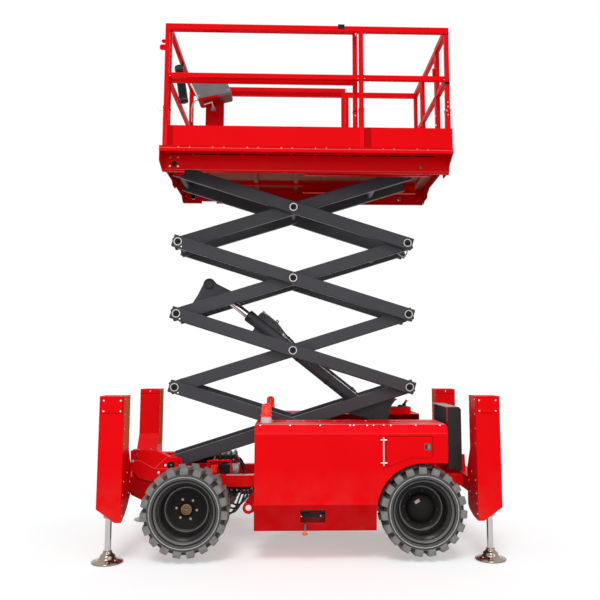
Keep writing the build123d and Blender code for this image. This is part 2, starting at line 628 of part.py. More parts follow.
def rim(axle_x, side):
    """A dished steel wheel with a hub cap over the spindle."""
    face = WHEEL_FACE
    profile = [(0, DISC_OUT + 20), (0, DISC_OUT + 26), (52, DISC_OUT + 26), (58, DISC_OUT + 20), (58, DISC_OUT),
               (175, DISC_OUT), (205, face - 50), (234, face - 26), (241, face - 14), (252, face - 14)]
    profile += [(r, face - y) for r, y in BEAD_SEAT]
    profile += [(243, face - 284), (205, face - 246), (196, DISC_IN), (SPINDLE_R, DISC_IN), (SPINDLE_R, DISC_OUT + 20)]
    return turned(profile, axle_x, side, WHEEL_R)


def tyre(axle_x, side):
    """A solid rubber tyre, plain outside."""
    face, back = WHEEL_FACE, WHEEL_FACE - WHEEL_WIDTH
    fit = RUNNING
    profile = [(252 + fit, face - 14), (290, face), (WHEEL_R - 14, face - 4), (WHEEL_R, face - 20), (WHEEL_R, back + 20),
               (WHEEL_R - 14, back + 4), (290, back), (252 + fit, back + 14)]
    profile += [(r + fit, face - y) for r, y in reversed(BEAD_SEAT)]
    return turned(profile, axle_x, side, WHEEL_R)


save("main_beams", *main_beams())
save("cross_members", *cross_members())
save("lower_carriers", *pivot_boxes(), *[channel(PIVOT_Z, side) for side in SIDES])
save("cover_left", cover(1))
save("cover_right", cover(-1))
save("service_door_left", service_door(1))
save("service_door_right", service_door(-1))
save("side_trays", *side_trays())
save("engine_block", block((-560, 120), (-820, -420), (240, 900)))
save("outrigger_housings", *[outrigger_housing(end, side) for end in SIDES for side in SIDES])
for end, end_name in ((1, "front"), (-1, "rear")):
    for side, side_name in ((1, "left"), (-1, "right")):
        save(f"outrigger_leg_{end_name}_{side_name}", outrigger_leg(end, side))
        axle_x = FRONT_AXLE_X if end == 1 else REAR_AXLE_X
        save(f"rim_{end_name}_{side_name}", rim(axle_x, side))
        save(f"tyre_{end_name}_{side_name}", tyre(axle_x, side))
save("axle_beams", *axle_beams())
save("knuckle_left", knuckle(1))
save("knuckle_right", knuckle(-1))
save("tie_rod", tie_rod())


def beacon(side):
    """A flashing beacon: round base and domed lens."""
    y, z = side * 660.0, COVER_Z[1]
    return spun([(0, z), (49, z), (49, z + 44), (40, z + 52), (40, z + 130), (34, z + 148), (18, z + 158), (0, z + 160)],
                288, y)


def ladder():
    """The rear steps: two folded stiles, a top bar and treads."""
    y0, y1 = -350.0, 250.0
    x0, x1 = -1326.0, -1448.0
    top, bottom = 1138.0, 590.0
    step_z = (600.0, 790.0, 960.0)
    stile = [(x0, top), (x1 + 18, top), (x1, top - 20), (x1, bottom), (x0, bottom)]
    piece = sheet_xz(stile, y1 - 8, y1) + sheet_xz(stile, y0, y0 + 8)
    piece += block((x0 - 16, x1 + 30), (y0, y1), (top - 8, top))
    for z in step_z:
        piece += block((x0 - 10, x1 + 6), (y0, y1), (z, z + 8))
    piece += block((x0 - 60, x1 + 8), (y0, y1), (BEAM_Z[1] + 10, bottom + 2))
    return piece


def hydraulic_blocks():
    """The manifold between the front beams and the hand-pump block on the right cover."""
    manifold = block((570, 790), (-150, 150), (BEAM_Z[1] - 10, 660))
    pump = block((-1110, -850), (-560, -420), (COVER_Z[1], COVER_Z[1] + 62))
    pump += Pos(-900, -490, COVER_Z[1] + 95) * Rot(0, -62, 0) * Cylinder(9, 180)
    return [manifold, pump]


save("beacons", beacon(1), beacon(-1))
save("rear_ladder", ladder())
save("hydraulic_blocks", *hydraulic_blocks())


# ---------------------------------------------------------------- platform
RIBS = ((-1220, False), (-900, True), (-580, True), (-260, True), (20, False), (420, False), (900, False))
HANGER_Y = (322.0, 361.0)


def deck_frame():
    """Both sides of the tray under the deck (edge lip, shelf, side plate with its bottom flange) and its end plates."""
    x0, x1 = DECK_X
    under = DECK_TOP - DECK_T
    pieces = []
    for side in SIDES:
        frame = block((x0, x1), (side * (DECK_HALF - 5), side * DECK_HALF), (3319, DECK_TOP + 8))
        frame += block((x0, x1), (side * TRAY_HALF, side * (DECK_HALF - 5)), (under - 6, under))
        inset = SHEET + RUNNING
        frame += block((x0 + inset, x1 - inset), (side * (TRAY_HALF - 6), side * TRAY_HALF), (TRAY_BOTTOM, under))
        frame += block((x0 + 20, x1 - 20), (side * (TRAY_HALF - 26), side * (TRAY_HALF - 6)),
                       (TRAY_BOTTOM, TRAY_BOTTOM + 5))
        for hole_x, hole_z, hole_r in ((1110, 3255, 25), (-1051, 3250, 18), (1188, 3263, 6)):
            frame -= bar_y(hole_x, hole_z, side * 600, side * 630, hole_r)
        frame -= block((867, 1020), (side * 580, side * 630), (TRAY_BOTTOM - 1, TRAY_BOTTOM + 24))
        pieces.append(frame)
    shelf = under - 6 - RUNNING
    edge, post = DECK_HALF - 5 - RUNNING, TRAY_HALF - RUNNING
    lines = {1: [(edge, 3240), (612, 3188), (580, 3188), (480, 3235), (116, 3235), (60, 3202)],
             -1: [(edge, 3322), (640, 3262), (600, 3188), (580, 3184), (522, 3206), (385, 3206), (365, 3247), (250, 3280)]}
    for end, x in ((-1, x0), (1, x1 - SHEET)):
        half = [(post, under), (post, shelf), (edge, shelf)] + lines[end]
        outline = half + [(-y, z) for y, z in reversed(half)]
        pieces.append(sheet_yz(outline, x, x + SHEET))
    return pieces


def deck_floor():
    """The floor plate with its ribs, which leave room for the hangers and for the top arms' sliding ends."""
    x0, x1 = DECK_X
    under = DECK_TOP - DECK_T
    floor = block((x0, x1), (5 - DECK_HALF, DECK_HALF - 5), (under, DECK_TOP))
    outer = TRAY_HALF - 6 - RUNNING
    for x, split in RIBS:
        inner = 165 if split else HANGER_Y[0] - RUNNING
        floor += block((x, x + 40), (-inner, inner), (under - 22, under))
        for side in SIDES:
            floor += block((x, x + 40), (side * (HANGER_Y[1] + RUNNING), side * outer), (under - 22, under))
    return floor


def upper_carriers():
    """The two upper slide channels and the plates of the platform's fixed pivots."""
    pieces = []
    for side in SIDES:
        rail = channel(PIVOT_TOP_Z, side)
        top = DECK_TOP - DECK_T
        rail += block((CHANNEL_BACK, PIVOT_X + 60), (side * HANGER_Y[0], side * HANGER_Y[1]),
                      (PIVOT_TOP_Z + SHOE_HEIGHT / 2 + SHOE_GAP + CHANNEL_T, top))
        y0, y1 = side * PIVOT_PLATE_Y, side * (PIVOT_PLATE_Y + PIVOT_PLATE_T)
        plate = sheet_xz([(PIVOT_X - 90, top), (PIVOT_X + 62, top), (PIVOT_X + 52, PIVOT_TOP_Z - 20),
                          (PIVOT_X + 20, PIVOT_TOP_Z - 52), (PIVOT_X - 30, PIVOT_TOP_Z - 52)], y0, y1)
        pieces += [rail, plate - bar_y(PIVOT_X, PIVOT_TOP_Z, y0 - side, y1 + side, SHOE_PIN_R + RUNNING)]
    return pieces


RAIL_OUT = DECK_HALF - 5.0
TOE_T = 4.0


def toe_boards():
    """Boards along both sides and the rear, in lengths between the posts."""
    boards = []
    spans = ((POST_X[1] + 22, POST_X[0] - 22), (DECK_X[0] + 2, POST_X[1] - 22))
    for side in SIDES:
        for x0, x1 in spans:
            boards.append(block((x0, x1), (side * (RAIL_OUT - TOE_T), side * RAIL_OUT), (DECK_TOP, TOE_TOP)))
        boards.append(block((RAIL_X[0], RAIL_X[0] + TOE_T), (side * (GATE_HALF + 41), side * (RAIL_OUT - 48)),
                            (DECK_TOP, TOE_TOP)))
    return boards


def guard_posts():
    """Upright tubes of the side and rear rails, each in a thicker socket."""
    posts = []
    for side in SIDES:
        for x in POST_X:
            out = RAIL_OUT - (TOE_T if x == POST_X[-1] else 0)
            post = block((x - 19, x + 19), (side * (out - RAIL_W), side * out), (DECK_TOP, RAIL_TOP - RAIL_H))
            post += block((x - 22, x + 22), (side * (out - RAIL_W - 4), side * out), (DECK_TOP, 3715))
            posts.append(post)
        y = side * (GATE_HALF + 22)
        post = block((RAIL_X[0], RAIL_X[0] + RAIL_W), (y - 19, y + 19), (DECK_TOP, RAIL_TOP - RAIL_H))
        if side == 1:
            for z in HINGES_Z:
                post += bar_z(*GATE_HINGE, z - HINGE_HALF, z - RUNNING, HINGE_R)
                post += block((RAIL_X[0] + RAIL_W, GATE_HINGE[0] - 2), (GATE_HINGE[1], y + 5), (z - HINGE_HALF, z - RUNNING))
        posts.append(post)
    return posts


def guard_rails():
    """Top and middle rails, in lengths that end at the posts."""
    rails = []
    top = (RAIL_TOP - RAIL_H, RAIL_TOP)
    mid = (MID_RAIL_Z - 21, MID_RAIL_Z + 21)
    x_rear = (RAIL_X[0], RAIL_X[0] + RAIL_W)
    for side in SIDES:
        y = (side * (RAIL_OUT - RAIL_W), side * RAIL_OUT)
        rails.append(block((RAIL_X[0], RAIL_X[1]), y, top))
        rails.append(block(x_rear, (side * (GATE_HALF + 3), side * (RAIL_OUT - RAIL_W)), top))
        rails.append(block((POST_X[1] + 19, POST_X[0] - 19), y, mid))
        rails.append(block((POST_X[2] + 19, POST_X[1] - 19), y, mid))
        rails.append(block(x_rear, (side * (GATE_HALF + 41), side * (RAIL_OUT - RAIL_W - TOE_T)), mid))
    return rails


def entry_gate():
    """The rear gate, hinged on its left post."""
    x0, x1 = RAIL_X[0] + 3, RAIL_X[0] + RAIL_W - 3
    y0, y1 = 6 - GATE_HALF, GATE_HALF - 6
    gate = block((x0, x1), (y0, y1), (RAIL_TOP - RAIL_H, RAIL_TOP - 4))
    gate += block((x0, x1), (y0, y1), (MID_RAIL_Z - 19, MID_RAIL_Z + 19))
    gate += block((x0, x1), (y0, y0 + 34), (3400, RAIL_TOP - RAIL_H)) + block((x0, x1), (y1 - 34, y1), (3400, RAIL_TOP - RAIL_H))
    gate += block((x0, x0 + 4), (y0, y1), (3400, TOE_TOP))
    for z in HINGES_Z:
        gate += bar_z(*GATE_HINGE, z, z + HINGE_HALF, HINGE_R)
        gate += block((x1, GATE_HINGE[0] - 2), (y1 - 9, GATE_HINGE[1]), (z, z + HINGE_HALF))
    return gate


def extension_deck():
    """The roll-out floor on its two runners."""
    z0 = DECK_TOP + 6
    floor = block((EXT_X[0], EXT_X[1] - 4), (4 - EXT_HALF, EXT_HALF - 4), (z0, EXT_FLOOR))
    for side in SIDES:
        floor += block((EXT_X[0], EXT_X[1] - 4), (side * 560, side * 600), (DECK_TOP + 0.5, z0))
    return floor


EXT_TOP = RAIL_TOP + 14
EXT_MID = MID_RAIL_Z - 14
EXT_POSTS = (EXT_X[1] - 24, EXT_X[0] + 24)
EXT_FLOOR = DECK_TOP + 10
EXT_IN = EXT_HALF - 4       # outer face of the extension's posts
EXT_POST = 40.0


def extension_posts():
    posts = []
    for side in SIDES:
        for x in EXT_POSTS:
            posts.append(block((x - EXT_POST / 2, x + EXT_POST / 2), (side * (EXT_IN - 34), side * EXT_IN),
                               (EXT_FLOOR, EXT_TOP - 40)))
    return posts


def extension_rails():
    """Side rails and toe boards of the extension, and the platform's front rail."""
    top, mid, toe = (EXT_TOP - 40, EXT_TOP), (EXT_MID - 19, EXT_MID + 19), (DECK_TOP + 6, TOE_TOP - 20)
    rails = [block((EXT_X[1] - 44, EXT_X[1] - 4), (36 - EXT_IN, EXT_IN - 36), top),
             block((EXT_X[1] - 4, EXT_X[1]), (-EXT_HALF, EXT_HALF), toe)]
    for side in SIDES:
        rails.append(block((EXT_X[0], EXT_X[1] - 4), (side * (EXT_IN - 36), side * EXT_IN), top))
        rails.append(block((EXT_X[0], EXT_X[1] - 4), (side * EXT_IN, side * EXT_HALF), toe))
        for front, back in zip(EXT_POSTS, EXT_POSTS[1:]):
            rails.append(block((back + EXT_POST / 2, front - EXT_POST / 2), (side * (EXT_IN - 34), side * EXT_IN), mid))
    rails.append(block((EXT_X[1] - 41, EXT_X[1] - 7), (34 - EXT_IN, EXT_IN - 34), mid))
    return rails


def control_box():
    """The tilted control box on its pedestal."""
    near, far = -200.0, -400.0
    profile = [(1133, 4391), (757, 4391), (736, 4333), (710, 4280), (695, 4239), (703, 4218), (1013, 4141)]
    box = sheet_xz(profile, near, far)
    return box + block((783, 965), (near - 15, near - 75), (EXT_FLOOR, 4215))


save("deck_frame", *deck_frame())
save("upper_carriers", *upper_carriers())
save("deck_floor", deck_floor())
save("toe_boards", *toe_boards())
save("guard_posts", *guard_posts())
save("guard_rails", *guard_rails())
save("entry_gate", entry_gate())
save("extension_deck", extension_deck())
save("extension_posts", *extension_posts())
save("extension_rails", *extension_rails())
save("control_box", control_box())
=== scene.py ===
import bmesh
import bpy
import math
from mathutils import Matrix, Vector


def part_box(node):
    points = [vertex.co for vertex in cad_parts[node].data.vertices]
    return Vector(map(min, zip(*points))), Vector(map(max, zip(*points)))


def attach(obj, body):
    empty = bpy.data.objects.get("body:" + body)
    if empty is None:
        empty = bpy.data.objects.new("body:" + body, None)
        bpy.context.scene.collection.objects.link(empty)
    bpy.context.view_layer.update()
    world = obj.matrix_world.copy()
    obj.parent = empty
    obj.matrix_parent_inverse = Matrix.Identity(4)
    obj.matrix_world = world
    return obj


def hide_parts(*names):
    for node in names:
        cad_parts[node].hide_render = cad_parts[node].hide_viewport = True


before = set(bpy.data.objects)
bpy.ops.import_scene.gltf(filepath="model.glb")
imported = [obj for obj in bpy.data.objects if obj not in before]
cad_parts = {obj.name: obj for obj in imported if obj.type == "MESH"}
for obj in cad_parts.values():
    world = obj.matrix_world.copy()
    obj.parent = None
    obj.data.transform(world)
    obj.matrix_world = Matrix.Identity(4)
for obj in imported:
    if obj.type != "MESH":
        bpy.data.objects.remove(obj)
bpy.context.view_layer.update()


# ------------------------------------------------------------------ materials
def feed(tree, socket, value):
    """Links a socket to an output, or gives it a colour or a plain value."""
    if isinstance(value, bpy.types.NodeSocket):
        tree.links.new(value, socket)
    else:
        socket.default_value = (*value, 1.0) if isinstance(value, tuple) else value


def node(tree, kind, inputs, **settings):
    """A shader node with its settings made and its inputs fed."""
    made = tree.nodes.new("ShaderNode" + kind)
    for name, value in settings.items():
        setattr(made, name, value)
    for name, value in inputs.items():
        feed(tree, made.inputs[name], value)
    return made


def compute(tree, operation, a, b):
    return node(tree, "Math", {0: a, 1: b}, operation=operation).outputs[0]


class Finish:
    """A material in the making; its patterns stay with the object."""

    def __init__(self, name):
        self.mat = bpy.data.materials.new(name)
        self.mat.use_nodes = True
        self.tree = self.mat.node_tree
        self.coord = node(self.tree, "TexCoord", {}).outputs["Object"]

    def noise(self, scale, detail, rough=0.55, squeeze=None):
        coord = self.coord
        if squeeze:
            coord = node(self.tree, "Mapping", {"Scale": Vector(squeeze), "Vector": coord}).outputs["Vector"]
        inputs = {"Scale": scale, "Detail": detail, "Roughness": rough, "Vector": coord}
        return node(self.tree, "TexNoise", inputs).outputs["Fac"]

    def ramp(self, source, low, high):
        """Goes from one (level of the source, value) to another; a value is a colour or a grey."""
        made = node(self.tree, "ValToRGB", {"Fac": source})
        for element, (at, value) in zip(made.color_ramp.elements, (low, high)):
            element.position = at
            element.color = (*value, 1.0) if isinstance(value, tuple) else (value, value, value, 1.0)
        return made.outputs["Color"]

    def mix(self, factor, a, b):
        return node(self.tree, "Mix", {0: factor, 6: a, 7: b}, data_type="RGBA").outputs[2]

    def lowness(self, low, high):
        """1 at height low and under, falling to 0 at height high."""
        height = node(self.tree, "SeparateXYZ", {0: self.coord}).outputs["Z"]
        inputs = {"From Min": low, "From Max": high, "To Min": 1.0, "To Max": 0.0, "Value": height}
        return node(self.tree, "MapRange", inputs).outputs["Result"]

    def done(self, base, rough, special, height, strength, distance, edge=0.0):
        """Feeds the shader; special is one more input, and the relief lies over edges rounded by edge."""
        relief = {"Strength": strength, "Distance": distance, "Height": height}
        if edge:
            relief["Normal"] = node(self.tree, "Bevel", {"Radius": edge}, samples=4).outputs["Normal"]
        normal = node(self.tree, "Bump", relief).outputs["Normal"]
        for name, value in (("Base Color", base), ("Roughness", rough), special, ("Normal", normal)):
            feed(self.tree, self.tree.nodes["Principled BSDF"].inputs[name], value)
        return self.mat


DUST = (0.30, 0.22, 0.17)


def dimmer(colour, share):
    return tuple(c * share for c in colour)


def paint(name, colour, worn, rough=0.34, gloss=0.05, dusty=0.06, edge=0.003):
    """Sprayed paint: faint colour drift, orange peel, small scuffs, and a little road dust low down."""
    new = Finish(name)
    base = new.ramp(new.noise(2.3, 3.0), (0.30, dimmer(colour, 0.93)), (0.70, colour))
    base = new.mix(new.ramp(new.noise(38.0, 8.0, 0.70), (0.69, 0.0), (0.74, 0.45)), base, worn)
    patches = new.ramp(new.noise(7.0, 6.0, 0.65), (0.35, 0.0), (0.75, dusty * 3))
    base = new.mix(compute(new.tree, "MULTIPLY", new.lowness(0.18, 0.75), patches), base, DUST)
    matt = new.ramp(new.noise(11.0, 5.0), (0.25, rough - 0.06), (0.75, rough + 0.10))
    return new.done(base, matt, ("Specular IOR Level", gloss), new.noise(260.0, 2.0), 0.05, 0.0006, edge)


def metal(name, colour, rough, grain=(1.0, 1.0, 1.0), scale=60.0, strength=0.04, spread=0.10, stain=None):
    """Bare metal with a grain, and stains if it has them."""
    new = Finish(name)
    streak = new.noise(scale, 5.0, 0.6, squeeze=grain)
    base = new.ramp(streak, (0.25, dimmer(colour, 0.80)), (0.75, colour))
    if stain:
        base = new.mix(new.ramp(new.noise(14.0, 6.0, 0.65), (0.50, 0.0), (0.68, 0.75)), base, stain)
    matt = new.ramp(streak, (0.2, max(0.03, rough - spread / 2)), (0.8, rough + spread / 2))
    return new.done(base, matt, ("Metallic", 1.0), streak, strength, 0.0008)


def rubber(name, colour, dusty, rough=0.75):
    """Moulded rubber with dust lying unevenly on it."""
    new = Finish(name)
    base = new.mix(new.ramp(new.noise(16.0, 8.0, 0.70), (0.30, 0.15), (0.70, 0.9)), colour, dusty)
    matt = new.ramp(new.noise(30.0, 4.0), (0.2, rough - 0.12), (0.8, min(0.95, rough + 0.12)))
    return new.done(base, matt, ("Specular IOR Level", 0.2), new.noise(190.0, 6.0, 0.7), 0.35, 0.0012)


def plastic(name, colour, rough=0.42, grainy=0.15, gloss=0.3):
    """Moulded plastic or rubber hose, lightly grained."""
    new = Finish(name)
    base = new.ramp(new.noise(9.0, 5.0), (0.3, dimmer(colour, 0.82)), (0.7, colour))
    matt = new.ramp(new.noise(40.0, 3.0), (0.2, rough - 0.05), (0.8, rough + 0.08))
    return new.done(base, matt, ("Specular IOR Level", gloss), new.noise(420.0, 3.0), grainy, 0.0005)


RED = paint("red_paint", (0.92, 0.0020, 0.0050), (0.50, 0.01, 0.01), gloss=0.03)
RED_LIT = paint("red_paint_lit", (1.0, 0.0035, 0.010), (0.60, 0.02, 0.02), gloss=0.03)
# painted highlight: the lit line along a cover's fold
RED_LINE_HIGHLIGHT = paint("red_paint_line_highlight", (0.95, 0.050, 0.055), (0.70, 0.10, 0.10), gloss=0.03)
# painted highlight: the lit lines along bends, folds and edges
RED_EDGE_HIGHLIGHT = paint("red_paint_edge_highlight", (0.95, 0.14, 0.13), (0.80, 0.20, 0.20))
# painted shade: the frame under the deck, which lies in shadow
RED_UNDER_SHADE = paint("red_paint_under_shade", (0.72, 0.0018, 0.0045), (0.40, 0.01, 0.01), gloss=0.03)
# painted shade: faces that lie in shadow, such as the sill, lower faces and a pedestal
RED_IN_SHADE = paint("red_paint_in_shade", (0.58, 0.0015, 0.0045), (0.30, 0.01, 0.01), gloss=0.02, dusty=0.03)
# painted highlight: the lit tops of the cover and of the beams
RED_TOP_HIGHLIGHT = paint("red_paint_top_highlight", (0.90, 0.55, 0.58), (0.80, 0.30, 0.32), gloss=0.4)
RED_DEEP = paint("red_paint_shaded", (0.34, 0.0030, 0.004), (0.20, 0.01, 0.01))
# painted reflection: the orange light on the housings' panels that face the wheels
ORANGE_REFLECTION = paint("orange_painted_reflection", (0.88, 0.19, 0.07), (0.30, 0.07, 0.03), gloss=0.0)
CHARCOAL = paint("charcoal_paint", (0.060, 0.059, 0.068), (0.15, 0.15, 0.15), 0.40, 0.14, 0.03, edge=0.0)
BLACK = paint("black_paint", (0.018, 0.017, 0.018), (0.07, 0.07, 0.07), 0.36, 0.35, 0.02)
WHEEL = paint("wheel_black", (0.014, 0.013, 0.013), (0.08, 0.07, 0.06), 0.26, 0.26, 0.03, edge=0.0)
DISC = paint("wheel_disc_black", (0.008, 0.007, 0.007), (0.03, 0.025, 0.02), 0.50, 0.10, 0.01, edge=0.0)
# painted highlight: the lit rings on the wheels' rims
RIM_HIGHLIGHT = paint("wheel_edge_highlight", (0.15, 0.15, 0.15), (0.30, 0.30, 0.29), 0.34, 0.6, 0.02, edge=0.0)
CHROME = metal("chrome", (0.60, 0.58, 0.59), 0.08, grain=(1, 1, 0.05), scale=90.0, strength=0.01, spread=0.06)
STEEL = metal("machined_steel", (0.36, 0.335, 0.335), 0.34, strength=0.05)
ZINC = metal("zinc_bolts", (0.80, 0.80, 0.78), 0.42, scale=120.0)
DULL = plastic("oiled_steel", (0.060, 0.048, 0.043), 0.5, 0.2, 0.2)
NUT = metal("wheel_nuts", (0.42, 0.34, 0.32), 0.45)
BRASS = metal("bronze_cap", (0.21, 0.115, 0.065), 0.42, scale=80.0, strength=0.15, stain=(0.26, 0.15, 0.08))
PAD = metal("pressed_pad", (0.34, 0.285, 0.23), 0.20, grain=(1, 1, 3), scale=12.0, strength=0.06, spread=0.12,
            stain=(0.24, 0.18, 0.12))
LUG = rubber("tyre_lug", (0.145, 0.143, 0.138), (0.30, 0.293, 0.28))
# painted highlight: the lit ribs on the tyres' sidewalls
RIB_HIGHLIGHT = rubber("tyre_rib_highlight", (0.34, 0.34, 0.335), (0.52, 0.52, 0.51), rough=0.5)
WALL = rubber("tyre_sidewall", (0.050, 0.050, 0.052), (0.125, 0.124, 0.122), rough=0.58)
# painted shade: the tyre between and under its lugs, and at the rim
TYRE_SHADE = rubber("tyre_painted_shade", (0.020, 0.017, 0.015), (0.075, 0.055, 0.045))
HOSE = plastic("hose_rubber", (0.020, 0.020, 0.021), 0.45)
DARK = plastic("black_plastic", (0.010, 0.010, 0.012), 0.38, 0.15, 0.12)
GREY = plastic("grey_panel", (0.215, 0.208, 0.225), 0.42, 0.08, 0.2)
SILVER = plastic("silver_coil", (0.34, 0.34, 0.33), 0.35, 0.05)
GLOWING_RED = plastic("red_plastic_painted_glow", (0.95, 0.010, 0.004), 0.12, 0.02, 0.45)
GLOWING_RED_SHADER = GLOWING_RED.node_tree.nodes["Principled BSDF"]
# painted glow: the red plastic of the lenses, the filter and the grip glows a little of itself
GLOWING_RED_SHADER.inputs["Emission Color"].default_value = (1.0, 0.03, 0.01, 1.0)
GLOWING_RED_SHADER.inputs["Emission Strength"].default_value = 0.35
GLOW = plastic("orange_reflector", (0.95, 0.16, 0.03), 0.25, 0.05, 0.5)
WHITE = plastic("white_plastic", (0.74, 0.72, 0.70), 0.36)
BROWN = plastic("brown_plate", (0.19, 0.085, 0.06), 0.55)
LATCH = plastic("latch_green", (0.10, 0.14, 0.13), 0.4)
TAG = plastic("blank_tag", (0.56, 0.36, 0.33), 0.45)
FLOORING = plastic("floor_plate", (0.40, 0.12, 0.080), 0.60, 0.6, 0.05)
NYLON = plastic("nylon", (0.10, 0.10, 0.105), 0.5)
IRON = plastic("engine_iron", (0.045, 0.045, 0.048), 0.55, 0.4)


def dress(obj, mat):
    slots = obj.data.materials
    if not slots:
        slots.append(mat)
    for i in range(len(slots)):
        slots[i] = mat


def dress_nodes():
    """Gives each CAD node its finish; red is what is left."""
    finishes = {
        CHARCOAL: ("inner_arms", "outer_arms", "inner_tubes", "lift_cylinder_barrel"),
        BLACK: ("knuckle", "axle_beams", "rear_ladder"),
        DULL: ("outer_shafts", "tie_rod"),
        CHROME: ("outrigger_leg", "lift_cylinder_rod"),
        LUG: ("tyre",),
        WHEEL: ("rim",),
        NYLON: ("lower_slide_shoes", "upper_slide_shoes"),
        IRON: ("engine_block",),
        GLOWING_RED: ("beacons",),
        FLOORING: ("deck_floor", "extension_deck"),
        # the deck frame and the carriers are darker with painted shade
        RED_UNDER_SHADE: ("deck_frame", "upper_carriers"),
    }
    for name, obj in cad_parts.items():
        chosen = [mat for mat, starts in finishes.items() if name.startswith(starts)]
        dress(obj, chosen[0] if chosen else RED)


dress_nodes()


# ------------------------------------------------------------------ forms
MM = 0.001
WHEELS_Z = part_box("tyre_front_left")[0].z      # the wheels' lowest points, where the heights below start
CRISP = math.radians(34)                       # edges bent further than this stay sharp, or are rounded off
SIDES = (1, -1)
SIDE_NAMES = (("left", 1), ("right", -1))
END_NAMES = (("front", 1), ("rear", -1))


def place(point):
    """A point in millimetres over the wheels' lowest points, in the row frame."""
    x, y, z = point
    return Vector((x * MM, y * MM, z * MM + WHEELS_Z))


def axes_of(axis):
    """Two directions square to an axis, and the axis; it is a vector, or a name such as x or -x."""
    if isinstance(axis, str):
        sign = -1.0 if axis[0] == "-" else 1.0
        axis = [sign if letter == axis[-1] else 0.0 for letter in "xyz"]
    along = Vector(axis).normalized()
    other = Vector((0, 0, 1)) if abs(along.z) < 0.9 else Vector((1, 0, 0))
    first = other.cross(along).normalized()
    return first, along.cross(first), along


def new_object(name, data):
    obj = bpy.data.objects.new(name, data)
    bpy.context.scene.collection.objects.link(obj)
    return obj


